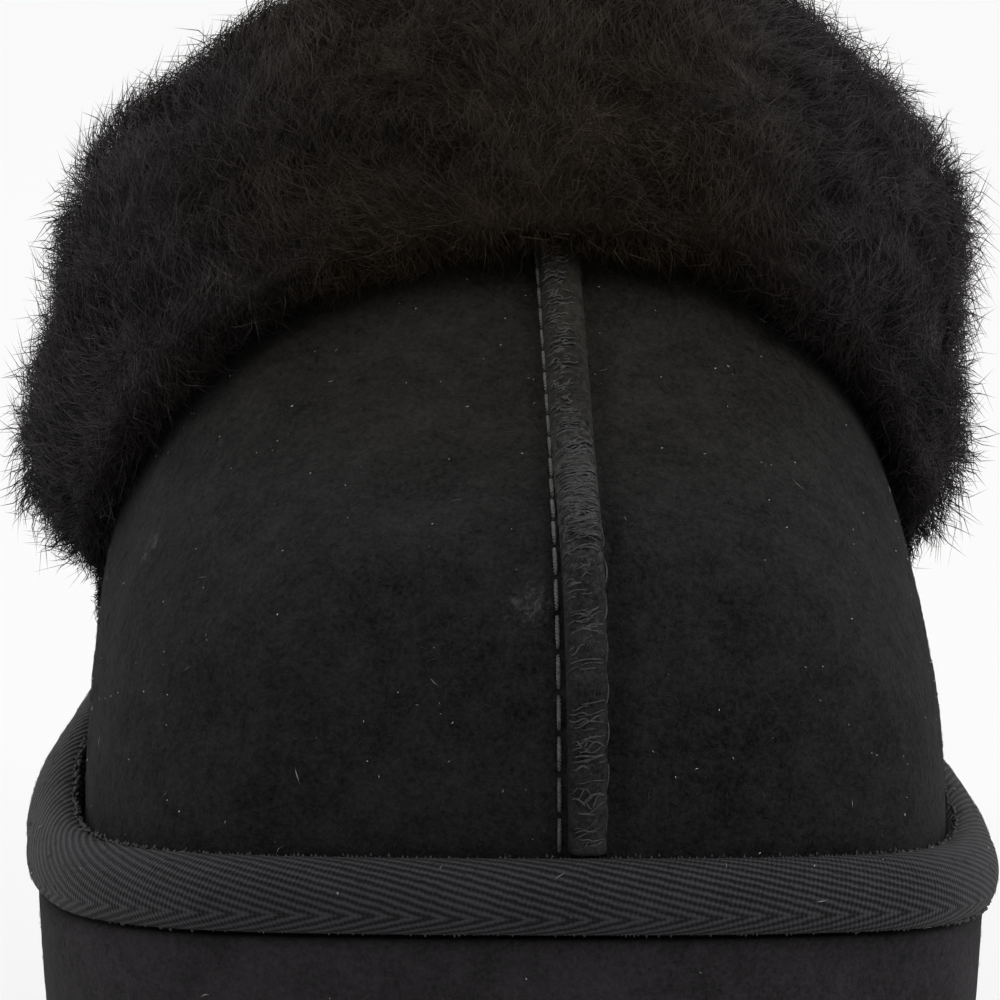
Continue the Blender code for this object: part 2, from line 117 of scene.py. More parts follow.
# The platform's edge from above: (share of the length from the toe, share of half the ball width)
PLATFORM_OUTLINE = (
    (0.000, 0.108),
    (0.012, -0.352),
    (0.046, -0.70),
    (0.110, -0.90),
    (0.200, -0.98),
    (0.320, -1.00),
    (0.460, -0.95),
    (0.600, -0.86),
    (0.740, -0.80),
    (0.860, -0.74),
    (0.950, -0.53),
    (1.000, -0.02),
    (0.950, 0.51),
    (0.860, 0.72),
    (0.740, 0.75),
    (0.600, 0.77),
    (0.460, 0.86),
    (0.330, 0.96),
    (0.220, 1.00),
    (0.120, 0.98),
    (0.050, 0.86),
    (0.012, 0.568),
)

# Where the sole leaves the ground and its top starts to rise, as shares of the length
TOE_ROLL = 0.24
HEEL_ROLL = 0.93
ARCH_FRONT, ARCH_BACK = 0.44, 0.68
TOP_ROLL = 0.26
HEEL_RISE_FRONT, HEEL_RISE_BACK = 0.40, 0.86

# The binding's section: (share of its width from the upper outwards, share of its height)
BINDING_SECTION = (
    (0.00, 0.04),
    (0.00, 0.72),
    (0.12, 0.94),
    (0.34, 1.00),
    (0.62, 0.93),
    (0.85, 0.74),
    (1.00, 0.45),
    (0.96, 0.16),
    (0.80, 0.04),
)


def closed_spline(points, steps):
    """A smooth closed curve through the points: a periodic cubic spline on chord length."""
    after = np.roll(points, -1, axis=0)
    chord = np.linalg.norm(after - points, axis=1)
    chord_before = np.roll(chord, 1)
    count = len(points)
    matrix = np.zeros((count, count))
    for i in range(count):
        matrix[i, i - 1] = chord_before[i]
        matrix[i, i] = 2 * (chord_before[i] + chord[i])
        matrix[i, (i + 1) % count] = chord[i]
    slope = (after - points) / chord[:, None]
    bend = np.linalg.solve(matrix, 6 * (slope - np.roll(slope, 1, axis=0)))
    bend_after = np.roll(bend, -1, axis=0)
    t = np.linspace(0, 1, steps, endpoint=False)[:, None]
    s = 1 - t
    spans = [
        s * points[i]
        + t * after[i]
        + chord[i] ** 2 / 6 * ((s**3 - s) * bend[i] + (t**3 - t) * bend_after[i])
        for i in range(count)
    ]
    return np.concatenate(spans)


class Outline:
    """The platform's edge from above, read by side and by station angle."""

    def __init__(self):
        shares = np.array(PLATFORM_OUTLINE)
        curve = closed_spline(shares[:, ::-1] * (BALL_WIDTH / 2, SOLE_LENGTH), OUTLINE_STEPS)
        low, high = curve.min(axis=0), curve.max(axis=0)
        curve[:, 0] *= BALL_WIDTH / (high[0] - low[0])
        curve[:, 1] = (curve[:, 1] - low[1]) * SOLE_LENGTH / (high[1] - low[1])
        self.low_x = curve[:, 0].min()
        curve = np.roll(curve, -int(curve[:, 1].argmin()), axis=0)
        along = np.roll(curve, -1, axis=0) - np.roll(curve, 1, axis=0)
        along /= np.linalg.norm(along, axis=1)[:, None]
        outward = np.stack([-along[:, 1], along[:, 0]], axis=1)
        if outward[0, 1] > 0:
            outward = -outward
        table = np.concatenate([curve, outward], axis=1)
        heel = int(curve[:, 1].argmax())
        self.runs = {
            LATERAL: table[: heel + 1],
            MEDIAL: np.concatenate([table[:1], table[: heel - 1 : -1]]),
        }

    def at(self, side, angle, out):
        """Plan points at this distance outside the edge."""
        run = self.runs[side]
        places = np.arange(len(run))
        y = SOLE_LENGTH * (1 - np.cos(angle)) / 2
        place = np.interp(y, np.maximum.accumulate(run[:, 1]), places)
        x, y, out_x, out_y = (np.interp(place, places, run[:, i]) for i in range(4))
        return x + out * out_x, y + out * out_y


OUTLINE = Outline()
platform_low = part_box("platform")[0]
SHIFT = np.array([platform_low[0] - OUTLINE.low_x, platform_low[1], 0.0])


def station_angle(y):
    """The station angle at a distance y behind the tip of the toe."""
    return np.arccos(np.clip(1 - 2 * np.asarray(y) / SOLE_LENGTH, -1, 1))


def ease(t):
    t = np.clip(t, 0, 1)
    return t * t * (3 - 2 * t)


def rolled(y, start, end, lift):
    """Zero up to start, then a parabola that reaches lift at end."""
    return lift * np.clip((y - start) / (end - start), 0, 1) ** 2


def plate_top(y):
    toe = rolled(y, TOE_ROLL * SOLE_LENGTH, 0, TOE_SPRING)
    heel = rolled(y, HEEL_ROLL * SOLE_LENGTH, SOLE_LENGTH, HEEL_SPRING)
    share = np.clip((y / SOLE_LENGTH - ARCH_FRONT) / (ARCH_BACK - ARCH_FRONT), 0, 1)
    return PLATE_TOP + toe + heel + ARCH_RISE * np.sin(math.pi * share) ** 2


def top_line(y):
    """Height of the platform's top, where the upper and the insole stand."""
    share = (y / SOLE_LENGTH - HEEL_RISE_FRONT) / (HEEL_RISE_BACK - HEEL_RISE_FRONT)
    rise = (HEEL_HEIGHT - FOREFOOT_HEIGHT) * ease(share)
    return FOREFOOT_HEIGHT + rise + rolled(y, TOP_ROLL * SOLE_LENGTH, 0, TOP_SPRING)


CROWN = np.polyfit(
    [TOE_BOX_DEPTH, VAMP_MIDDLE, THROAT_FRONT, UPPER_BACK],
    [TOE_BOX_HEIGHT, VAMP_MIDDLE_HEIGHT, THROAT_HEIGHT, UPPER_BACK_HEIGHT],
    3,
)


def crown_line(y):
    """Height of the vamp's ridge, seen from the side."""
    return FOREFOOT_HEIGHT + np.polyval(CROWN, y)


def ridge_x(y):
    share = (y - TOE_BOX_DEPTH) / (THROAT_FRONT - TOE_BOX_DEPTH)
    return RIDGE_TOE_X + (RIDGE_THROAT_X - RIDGE_TOE_X) * np.clip(share, 0, 2)


def upper_point(side, angle, rise, out):
    """A point of the form that the upper is lasted on, in the row frame.

    Its ribs run from the footbed's edge, where rise is 0, to the ridge, where rise is 1.
    """
    edge_x, edge_y = OUTLINE.at(side, angle, out - UPPER_INSET)
    station = SOLE_LENGTH * (1 - np.cos(angle)) / 2
    behind = (station - TOE_BOX_DEPTH) / RIDGE_BLEND
    ridge_y = TOE_BOX_DEPTH + RIDGE_BLEND * np.logaddexp(0, behind)
    power = TOE_POWER + (ARCH_POWER - TOE_POWER) * ease(station / TOE_BOX_DEPTH)
    spread = np.cos(rise * math.pi / 2).clip(0) ** (2 / power)
    height = np.sin(rise * math.pi / 2) ** (2 / power)
    x = ridge_x(ridge_y) + spread * (edge_x - ridge_x(ridge_y))
    y = ridge_y + spread * (edge_y - ridge_y)
    base = top_line(y) + GAP
    z = base + (crown_line(y) + out - base) * height
    return np.stack(np.broadcast_arrays(x, y, z), axis=-1) + SHIFT


def swept(rise, crown_y, base_y):
    """Distance behind the toe of a line that leans back from the ridge to the footbed."""
    height = np.sin(rise * math.pi / 2) ** (2 / ARCH_POWER)
    return crown_y + (base_y - crown_y) * (1 - height) ** THROAT_SWEEP


def throat_line(rise):
    return swept(rise, THROAT_FRONT, THROAT_BASE)


def back_line(rise):
    return swept(rise, UPPER_BACK, UPPER_BACK_BASE)


def unit(vectors):
    return vectors / np.maximum(np.linalg.norm(vectors, axis=-1, keepdims=True), 1e-12)


def gone_along(points):
    """The distance gone at each point of a line."""
    return np.concatenate([[0], np.cumsum(np.linalg.norm(np.diff(points, axis=0), axis=1))])


def once_round(points):
    """A closed line's points, with the first one again at the end."""
    return np.concatenate([points, points[:1]])


def tree_of(points):
    """A search tree over the points."""
    tree = kdtree.KDTree(len(points))
    for i, p in enumerate(points):
        tree.insert(p, i)
    tree.balance()
    return tree


# Meshes


def add_piece(name, points, faces, material, slot, stands_for=(), smooth=True):
    """A mesh object of the slipper, in the row frame. faces is a list of index arrays."""
    mesh = bpy.data.meshes.new(name)
    points = np.asarray(points, dtype=np.float32)
    mesh.vertices.add(len(points))
    mesh.vertices.foreach_set("co", points.ravel())
    sizes = np.concatenate([np.full(len(f), f.shape[1]) for f in faces])
    loops = np.concatenate([f.ravel() for f in faces])
    mesh.loops.add(len(loops))
    mesh.loops.foreach_set("vertex_index", loops.astype(np.int32))
    mesh.polygons.add(len(sizes))
    starts = np.concatenate([[0], np.cumsum(sizes)[:-1]])
    mesh.polygons.foreach_set("loop_start", starts.astype(np.int32))
    mesh.polygons.foreach_set("use_smooth", np.full(len(sizes), smooth))
    mesh.update(calc_edges=True)
    mesh.validate()
    mesh.materials.append(material)
    obj = bpy.data.objects.new(name, mesh)
    bpy.context.scene.collection.objects.link(obj)
    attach(obj, "root")
    if stands_for:
        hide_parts(*stands_for)
    return obj


def grid_faces(rows, columns, wrap_rows=False, wrap_columns=False):
    """Quads between the points of a grid, row by row."""
    r = np.arange(rows if wrap_rows else rows - 1)[:, None]
    c = np.arange(columns if wrap_columns else columns - 1)[None, :]
    r_next, c_next = (r + 1) % rows, (c + 1) % columns
    quad = [r * columns + c, r * columns + c_next, r_next * columns + c_next, r_next * columns + c]
    return np.stack(np.broadcast_arrays(*quad), axis=-1).reshape(-1, 4)


def tubes(paths, radii, sides):
    """Closed tapered tubes. paths is (tubes, points, 3), and radii (tubes, points).

    The first and last point of each tube close it: their rings shrink to one point.
    """
    count, steps, _ = paths.shape
    along = unit(np.gradient(paths, axis=1))
    spare = np.where(np.abs(along[:, :1, 2:3]) > 0.8, (1.0, 0.0, 0.0), (0.0, 0.0, 1.0))
    side = unit(np.cross(along, spare))
    up = np.cross(side, along)
    turn = (np.arange(sides) * 2 * math.pi / sides)[:, None]
    ring = np.cos(turn) * side[:, :, None, :] + np.sin(turn) * up[:, :, None, :]
    rings = paths[:, :, None, :] + radii[:, :, None, None] * ring
    body = rings[:, 1:-1].reshape(count, -1, 3)
    points = np.concatenate([paths[:, :1], body, paths[:, -1:]], axis=1)
    size = 2 + (steps - 2) * sides
    k = np.arange(sides)
    k_next = (k + 1) % sides
    first = np.stack([np.zeros(sides, int), 1 + k_next, 1 + k], axis=1)
    end = 1 + (steps - 3) * sides
    last = np.stack([np.full(sides, size - 1), end + k, end + k_next], axis=1)
    tris = np.concatenate([first, last])
    quads = 1 + grid_faces(steps - 2, sides, wrap_columns=True)
    base = (np.arange(count) * size)[:, None, None]
    faces = [(tris[None] + base).reshape(-1, 3)]
    if steps > 3:
        faces.append((quads[None] + base).reshape(-1, 4))
    return points.reshape(-1, 3), faces


def even_radii(chance, low, high, count):
    """One random radius for each strand of three points."""
    return np.repeat(chance.uniform(low, high, (count, 1)), 3, axis=1)


def surface(mesh):
    """A mesh's points and triangles."""
    mesh.calc_loop_triangles()
    points = np.empty(len(mesh.vertices) * 3)
    mesh.vertices.foreach_get("co", points)
    triangles = np.empty(len(mesh.loop_triangles) * 3, dtype=np.int32)
    mesh.loop_triangles.foreach_get("vertices", triangles)
    return points.reshape(-1, 3), triangles.reshape(-1, 3)


def mixed_noise(points, size, seed):
    """Smooth noise from -1 to 1 at these points, with features of this size."""
    offset = Vector((seed * 7.3, seed * 3.1, seed * 5.7))
    return np.array([noise.noise(Vector(p) / size + offset) for p in points])


# Materials


class Shader:
    """A material whose nodes are added one call each."""

    def __init__(self, name, colour, roughness):
        self.material = bpy.data.materials.new(name)
        self.material.use_nodes = True
        self.tree = self.material.node_tree
        self.principled = self.tree.nodes["Principled BSDF"]
        self.principled.inputs["Base Color"].default_value = (*colour, 1)
        self.principled.inputs["Roughness"].default_value = roughness
        self.place = self.add("TexCoord").outputs["Object"]

    def add(self, kind, inputs=None, **settings):
        made = self.tree.nodes.new("ShaderNode" + kind)
        for key, value in settings.items():
            setattr(made, key, value)
        for key, value in (inputs or {}).items():
            if isinstance(value, bpy.types.NodeSocket):
                self.tree.links.new(value, made.inputs[key])
            else:
                made.inputs[key].default_value = value
        return made

    def math(self, operation, a, b=0.0, c=0.0):
        return self.add("Math", {0: a, 1: b, 2: c}, operation=operation).outputs[0]

    def weigh(self, *parts):
        """The sum of (value, weight) pairs."""
        total = None
        for value, weight in parts:
            part = self.math("MULTIPLY", value, weight)
            total = part if total is None else self.math("ADD", total, part)
        return total

    def past(self, value, start, width):
        """How far a value is past start, as a share of width."""
        return self.math("DIVIDE", self.math("SUBTRACT", value, start), width)

    def swing(self, value, reach):
        """A value from 0 to 1 turned into one on both sides of 0."""
        return self.math("MULTIPLY", self.math("SUBTRACT", value, 0.5), reach)

    def axis(self, index):
        """One coordinate of the place."""
        return self.add("SeparateXYZ", {"Vector": self.place}).outputs[index]

    def noise(self, size, detail=2.0, rough=0.5, place=None):
        """Noise from 0 to 1 with features of this size in metres."""
        inputs = {"Vector": place or self.place, "Scale": 1 / size, "Detail": detail, "Roughness": rough}
        return self.add("TexNoise", inputs).outputs["Fac"]

    def ramp(self, value, stops):
        """Colours or greys against a value. stops is a list of (place, colour)."""
        made = self.add("ValToRGB", {"Fac": value})
        elements = made.color_ramp.elements
        for i, (place, colour) in enumerate(stops):
            element = elements[i] if i < 2 else elements.new(place)
            element.position = place
            element.color = (*colour, 1) if isinstance(colour, tuple) else (colour,) * 3 + (1,)
        return made.outputs["Color"]

    def mix(self, share, a, b, kind="MIX"):
        inputs = {0: share, 6: a, 7: b}
        return self.add("Mix", inputs, data_type="RGBA", blend_type=kind).outputs[2]

    def times(self, a, b):
        return self.mix(1.0, a, b, "MULTIPLY")

    def bump(self, height, distance, strength=1.0, before=None):
        inputs = {"Height": height, "Distance": distance, "Strength": strength}
        if before:
            inputs["Normal"] = before
        return self.add("Bump", inputs).outputs["Normal"]

    def finish(self, colour=None, roughness=None, normal=None, specular=0.5, sheen=(0.0, 0.5)):
        """Links what varies over the surface and sets the rest. sheen is (weight, roughness)."""
        for key, value in {"Base Color": colour, "Roughness": roughness, "Normal": normal}.items():
            if value is not None:
                self.tree.links.new(value, self.principled.inputs[key])
        self.principled.inputs["Specular IOR Level"].default_value = specular
        self.principled.inputs["Sheen Weight"].default_value = sheen[0]
        self.principled.inputs["Sheen Roughness"].default_value = sheen[1]
        return self.material


def scaled(tint, factor):
    return tuple(factor * c for c in tint)


NAP_DRAW = (1.0, 0.5, 1.0)
RUBBED = (0.040, 0.042, 0.040, 1.0)
SLIPPER_MIDDLE = -0.001


def suede_material(name, tint, marks=(), low=0.25, high=2.1):
    """Brushed suede: a soft nap with cloudy and fine mottling, and pale rubbed marks, with painted shade:
    darker and browner towards the top, under the collar's wool.

    marks holds (place, reach, strength) rows. low and high scale the tint.
    """
    shader = Shader(name, tint, 0.95)
    drawn = shader.add("VectorMath", {0: shader.place, 1: NAP_DRAW}, operation="MULTIPLY").outputs["Vector"]
    cloud = shader.noise(0.014, 3.0, 0.6)
    patch = shader.noise(0.0028, 3.0, 0.65)
    grain = shader.noise(0.00062, 2.0, 0.7, drawn)
    fine = shader.noise(0.00030, 2.0, 0.7, drawn)
    tone = shader.weigh((cloud, 0.32), (patch, 0.26), (grain, 0.38), (fine, 0.30))
    colour = shader.ramp(tone, [(0.47, scaled(tint, low)), (0.80, scaled(tint, high))])
    for place, reach, strength in marks:
        gap = shader.add("VectorMath", {0: shader.place, 1: place}, operation="DISTANCE").outputs["Value"]
        ragged = shader.swing(shader.noise(0.0008, 4.0, 0.8), 4.2)
        share = shader.math("ADD", shader.math("DIVIDE", gap, reach), ragged)
        near = shader.ramp(share, [(0.15, strength), (1.0, 0.0)])
        specks = shader.ramp(grain, [(0.42, 0.12), (0.62, 1.0)])
        colour = shader.mix(shader.math("MULTIPLY", near, specks), colour, RUBBED)
    # Painted shade: the suede darkens and browns towards the top, where the collar's wool overhangs it.
    painted_shade_near_wool = shader.ramp(shader.past(shader.axis(2), 0.080, 0.022), [(0.0, 1.0), (1.0, (0.98, 0.84, 0.68))])
    normal = shader.bump(patch, 0.0003, 0.45)
    normal = shader.bump(grain, 0.00022, 0.8, normal)
    normal = shader.bump(fine, 0.00010, 0.8, normal)
    return shader.finish(shader.times(colour, painted_shade_near_wool), None, normal, specular=0.04, sheen=(0.010, 0.45))


def brown_middle_and_painted_light(shader, colour):
    """The colour, brown in the middle of the slipper, the wool's own colour, with painted light: cooler and
    paler towards its sides, where the side lamps fall, and painted shade, darker lower down.
    """
    wander = shader.swing(shader.noise(0.03), 0.030)
    aside = shader.math("SUBTRACT", shader.axis(0), SLIPPER_MIDDLE)
    side = shader.math("ABSOLUTE", shader.math("ADD", aside, wander))
    share = shader.math("DIVIDE", side, 0.05)
    # Brown in the middle is the wool's own colour; cooler and paler towards the sides is painted light from
    # the side lamps.
    tint = shader.ramp(share, [(0.36, (0.82, 0.59, 0.36)), (0.74, (1.02, 0.90, 0.96))])
    # Painted shade: darker lower down, as on the collar's underside.
    low = shader.ramp(shader.past(shader.axis(2), 0.072, 0.030), [(0.0, (0.78, 0.76, 0.78)), (1.0, 1.04)])
    broad = shader.ramp(shader.noise(0.016), [(0.38, (0.70, 0.69, 0.70)), (0.62, 1.14)])
    return shader.times(shader.times(colour, shader.times(tint, low)), broad)


def wool_material(name, tint, gloss, shine):
    """Dyed wool: near black, a little browner in places, with a few silvery stretches that are painted
    highlights, painted light paler towards the sides and painted shade lower down.
    """
    shader = Shader(name, tint, gloss)
    tone = shader.weigh((shader.noise(0.009, 3.0, 0.6), 0.6), (shader.noise(0.0006, 2.0, 0.6), 0.4))
    # The top stop paints highlights: short silvery stretches where the fine noise peaks.
    stops = [(0.35, scaled(tint, 0.60)), (0.60, scaled(tint, 1.50)), (0.66, scaled(tint, 3.4))]
    return shader.finish(brown_middle_and_painted_light(shader, shader.ramp(tone, stops)), specular=shine)


def wool_base_material():
    """The deep wool between the locks: matt and finely fibrous, its dark colour painted shade, darker than
    the fibres above it.
    """
    shader = Shader("wool base", (0.006, 0.005, 0.0045), 0.95)
    curl = shader.noise(0.0016, 4.0, 0.7)
    fibre = shader.noise(0.0004, 2.0, 0.6)
    colour = shader.ramp(curl, [(0.35, (0.0050, 0.0042, 0.0036)), (0.70, (0.012, 0.0100, 0.0088))])
    normal = shader.bump(fibre, 0.0003, 0.8, shader.bump(curl, 0.0012, 0.9))
    return shader.finish(colour, None, normal, specular=0.2)


def fleece_material():
    """Deep curly wool: swirling fibres, browner in the middle, a cool glow at grazing angles, with painted
    light paler towards the sides and painted shade lower down.
    """
    shader = Shader("fleece", (0.010, 0.0085, 0.0075), 0.95)
    wave = {"Vector": shader.place, "Scale": 420.0, "Distortion": 16.0, "Detail": 3.0, "Detail Scale": 1.4}
    swirl = shader.add("TexWave", wave).outputs["Fac"]
    fibre = shader.noise(0.0005, 3.0, 0.7)
    tone = shader.weigh((swirl, 0.35), (fibre, 0.45), (shader.noise(0.010, 3.0, 0.6), 0.35))
    colour = shader.ramp(tone, [(0.35, (0.0078, 0.0073, 0.0070)), (0.85, (0.0190, 0.0180, 0.0175))])
    normal = shader.bump(fibre, 0.0003, 0.6, shader.bump(swirl, 0.0004, 0.7))
    return shader.finish(brown_middle_and_painted_light(shader, colour), None, normal, specular=0.10, sheen=(0.05, 0.5))


# The weave of the tape: the ribs' slant in degrees, distances, and the spine's place on the section
TWILL_SLANT = 16.0
TWILL_PITCH = 0.00082
YARN_PITCH = 0.00050
TWILL_SPINE = 0.30


def twill_material():
    """Herringbone twill tape: slanting ribs that meet along a spine, each crossed by fine yarns. Its colour
    follows the ribs, with painted shade in the grooves and painted highlight on the crests.
    """
    shader = Shader("twill tape", (0.020, 0.019, 0.022), 0.75)
    weave = shader.add("Attribute", attribute_name="weave").outputs["Vector"]
    along, around_tape, _ = shader.add("SeparateXYZ", {"Vector": weave}).outputs
    across = shader.math("ABSOLUTE", around_tape)
    slant = math.radians(TWILL_SLANT)
    phase = shader.weigh(
        (across, math.cos(slant) / TWILL_PITCH),
        (along, math.sin(slant) / TWILL_PITCH),
        (shader.noise(0.0009), 0.35),
    )
    yarn_phase = shader.weigh((along, math.cos(slant) / YARN_PITCH), (across, -math.sin(slant) / YARN_PITCH))
    rib, yarn = (
        shader.math("SINE", shader.math("MULTIPLY", turns, 2 * math.pi)) for turns in (phase, yarn_phase)
    )
    rib = shader.math("MULTIPLY_ADD", rib, 0.5, 0.5)
    fuzz = shader.noise(0.00025, 3.0, 0.7)
    height = shader.weigh((rib, 1.0), (yarn, 0.22), (fuzz, 0.5))
    # The rib term paints shade into the grooves and lightens the crests.
    tone = shader.weigh((rib, 0.55), (fuzz, 0.5), (yarn, 0.06), (shader.noise(0.006, 3.0, 0.6), 0.25))
    colour = shader.ramp(tone, [(0.40, (0.0005, 0.0004, 0.0007)), (0.92, (0.0260, 0.0244, 0.0287))])
    normal = shader.bump(height, 0.00028, 1.0)
    return shader.finish(colour, None, normal, specular=0.15, sheen=(0.015, 0.5))


def thread_material(name, dark, light):
    """Bonded polyester thread, paler in patches: painted highlights, the glints of its twisted plies."""
    shader = Shader(name, (light,) * 3, 0.60)
    ply = shader.noise(0.00045, 3.0, 0.7)
    # The pale end of the ramp paints highlights on the thread.
    colour = shader.ramp(ply, [(0.32, dark), (0.72, light)])
    return shader.finish(colour, None, shader.bump(ply, 0.0001, 0.6), specular=0.2)


def rubber_material():
    """Moulded rubber with a fine matt texture and a little dust."""
    shader = Shader("rubber", (0.022, 0.021, 0.021), 0.62)
    grain = shader.noise(0.0006, 3.0, 0.6)
    dust = shader.noise(0.012, 4.0, 0.7)
    colour = shader.ramp(dust, [(0.40, (0.014, 0.0135, 0.0135)), (0.75, (0.036, 0.034, 0.032))])
    rough = shader.ramp(grain, [(0.3, 0.52), (0.7, 0.78)])
    return shader.finish(colour, rough, shader.bump(grain, 0.00015, 0.6))


def nap_material():
    """Loose fibres of the nap, a little paler than the suede."""
    shader = Shader("nap", (0.02, 0.02, 0.02), 0.9)
    tone = shader.noise(0.0016, 2.0, 0.6)
    return shader.finish(shader.ramp(tone, [(0.35, 0.010), (0.75, (0.042, 0.042, 0.041))]), specular=0.1)


def dust_material():
    shader = Shader("dust", (0.42, 0.41, 0.40), 0.9)
    return shader.finish(shader.ramp(shader.noise(0.0012), [(0.35, 0.03), (0.70, 0.45)]))


# The centre seam's path, which the vamp's relief follows too


class SeamPath:
    """Points up the toe and back along the ridge, with the directions along, across and out."""

    def __init__(self, step):
        toe = upper_point(MEDIAL, 0.0, np.array([0.0, 1.0]), 0) - SHIFT
        rises = np.linspace(0.02, 1, 160)
        ridge = np.linspace(toe[1, 1], throat_line(1.0), 120)[1:]
        behind = np.expm1((ridge - TOE_BOX_DEPTH) / RIDGE_BLEND)
        stations = TOE_BOX_DEPTH + RIDGE_BLEND * np.log(behind)
        angles = np.concatenate([np.zeros(len(rises)), station_angle(stations)])
        rises = np.concatenate([rises, np.ones(len(ridge))])
        path = upper_point(MEDIAL, angles, rises, 0)
        lifted = upper_point(MEDIAL, angles, rises, 0.001)
        gone = gone_along(path)
        self.length = gone[-1]
        self.places = np.arange(0, self.length, step)
        self.path = self.resample(gone, path, self.places)
        lift = self.resample(gone, lifted, self.places) - self.path
        self.along = unit(np.gradient(self.path, axis=0))
        self.across = unit(np.cross(self.along, lift))
        self.across *= np.sign(self.across[:, :1])
        self.out = unit(np.cross(self.across, self.along))
        self.out *= np.sign((self.out * lift).sum(axis=1, keepdims=True))

    @staticmethod
    def resample(gone, values, places):
        return np.stack([np.interp(places, gone, values[:, i]) for i in range(3)], axis=1)

    def at(self, place, side, height):
        """A point this far along the seam, to its medial side and above the suede."""
        shape = np.broadcast_shapes(np.shape(place), np.shape(side), np.shape(height))
        place, side, height = (np.broadcast_to(v, shape).ravel() for v in (place, side, height))
        parts = (self.path, self.across, self.out)
        path, across, out = (self.resample(self.places, part, place) for part in parts)
        return (path + side[:, None] * across + height[:, None] * out).reshape(*shape, 3)


SEAM = SeamPath(SEAM_STEP)
ABOVE_TAPE = SEAM.path[:, 2] > top_line(UPPER_INSET) + BINDING_HEIGHT + 2 * GAP
SEAM_START = SEAM.places[ABOVE_TAPE.argmax()]


def seam_dome(side):
    """Height of the raised seam at this distance from its middle."""
    share = np.clip(np.abs(side) / (SEAM_WIDTH / 2), 0, 1)
    return GAP + SEAM_HEIGHT * (1 - share**3.2) ** (1 / 1.8)


# The vamp

# Soft forms of the suede: (x and z of the middle, half width and half height, lift), on the front
VAMP_FORMS = (
    (-0.022, 0.072, 0.024, 0.006, 0.0005),
    (-0.030, 0.060, 0.018, 0.008, -0.0004),
    (0.030, 0.074, 0.014, 0.008, 0.0003),
    (0.036, 0.058, 0.010, 0.012, 0.0004),
    (-0.012, 0.096, 0.022, 0.006, -0.0003),
    (0.024, 0.094, 0.016, 0.006, -0.0003),
)
FORM_SLANT = 0.35
FORMS_BACK = -0.03

# The groove that the running stitch pulls in, the fainter one beyond the seam, and the swelling beside
# them: (distance from the seam's middle, half width, lift)
GROOVE_SIDE = -0.0029
GROOVE = (GROOVE_SIDE, 0.0006, -0.0005)
FAR_GROOVE = (-GROOVE_SIDE, 0.0008, -0.0003)
SWELLING = (0.0050, 0.0018, 0.00018)
SEAM_REACH = 0.012


def bell(distance, form):
    """The lift of one of these forms at a distance from the seam's middle."""
    middle, width, lift = form
    return lift * math.exp(-(((distance - middle) / width) ** 2))


def vamp_relief(points):
    """How far the suede stands proud of the last: soft forms, and the groove of the stitching."""
    flat = points.reshape(-1, 3)
    relief = 0.00022 * mixed_noise(flat, 0.020, 1) + 0.00010 * mixed_noise(flat, 0.007, 2)
    for x, z, wide, high, lift in VAMP_FORMS:
        slope = FORM_SLANT * (flat[:, 0] - x)
        reach = ((flat[:, 0] - x) / wide) ** 2 + ((flat[:, 2] - z - slope) / high) ** 2
        relief += lift * np.exp(-reach) * (flat[:, 1] < FORMS_BACK)
    tree = tree_of(SEAM.path)
    for i, p in enumerate(flat):
        _, k, distance = tree.find(p)
        if distance < SEAM_REACH:
            side = float((p - SEAM.path[k]) @ SEAM.across[k])
            relief[i] += bell(side, GROOVE) + bell(side, FAR_GROOVE) + bell(abs(side), SWELLING)
    return relief.reshape(points.shape[:-1])


def make_vamp(material):
    """The suede vamp, one wall on fine ribs, with its soft forms pressed into the outer face."""
    steps = np.linspace(0, 1, VAMP_ROWS + 1)
    rise = (1 - (1 - steps) ** 1.5)[:, None]
    shares = np.linspace(0, 1, VAMP_COLUMNS + 1) ** 1.5
    angle = shares * station_angle(back_line(rise))

    def skin(side, out):
        return upper_point(side, angle, rise, out)

    outer = []
    for side in (LATERAL, MEDIAL):
        relief = vamp_relief(skin(side, 0.0))
        fade = ease(rise / 0.10)
        outer.append(skin(side, relief * fade))
    inner = [skin(side, -UPPER_WALL) for side in (LATERAL, MEDIAL)]
    outer[0][-1] = outer[1][-1]
    grids = [np.concatenate([a[:, :0:-1], b], axis=1) for a, b in (outer, inner)]
    rows, columns = grids[0].shape[:2]
    number = np.arange(rows * columns).reshape(rows, columns)
    number[-1, :VAMP_COLUMNS] = number[-1, :VAMP_COLUMNS:-1]
    quads = number.ravel()[grid_faces(rows, columns)]
    size = rows * columns
    edge = np.concatenate([number[0], number[1:, -1], number[-2:0:-1, 0], number[:1, 0]])
    rim = np.stack([edge[1:], edge[:-1], edge[:-1] + size, edge[1:] + size], axis=1)
    rim = rim[rim[:, 0] != rim[:, 1]]
    points = np.concatenate([grid.reshape(-1, 3) for grid in grids])
    faces = [quads, quads[:, ::-1] + size, rim]
    return add_piece("vamp", points, faces, material, "suede", ["upper"])


# The seam

THREAD_PITCH = 0.0043
THREAD_STEP = 0.00028
THREAD_RADIUS = 0.00013
THREAD_POINTS = 9
BUNDLE_SHARE = 0.45
BARE_SHARE = 0.7
OPEN_SEAM = 0.037
SMOOTH_SEAM = 0.053
STITCH_LENGTH = 0.0037
PLY_PITCH = 0.0007
PLY_RADIUS = 0.00016
PLY_POINTS = 48


def seam_share(place):
    """The seam's width at a place, as a share of its full width near the throat."""
    return 0.86 + 0.14 * ease(np.asarray(place) / 0.05)


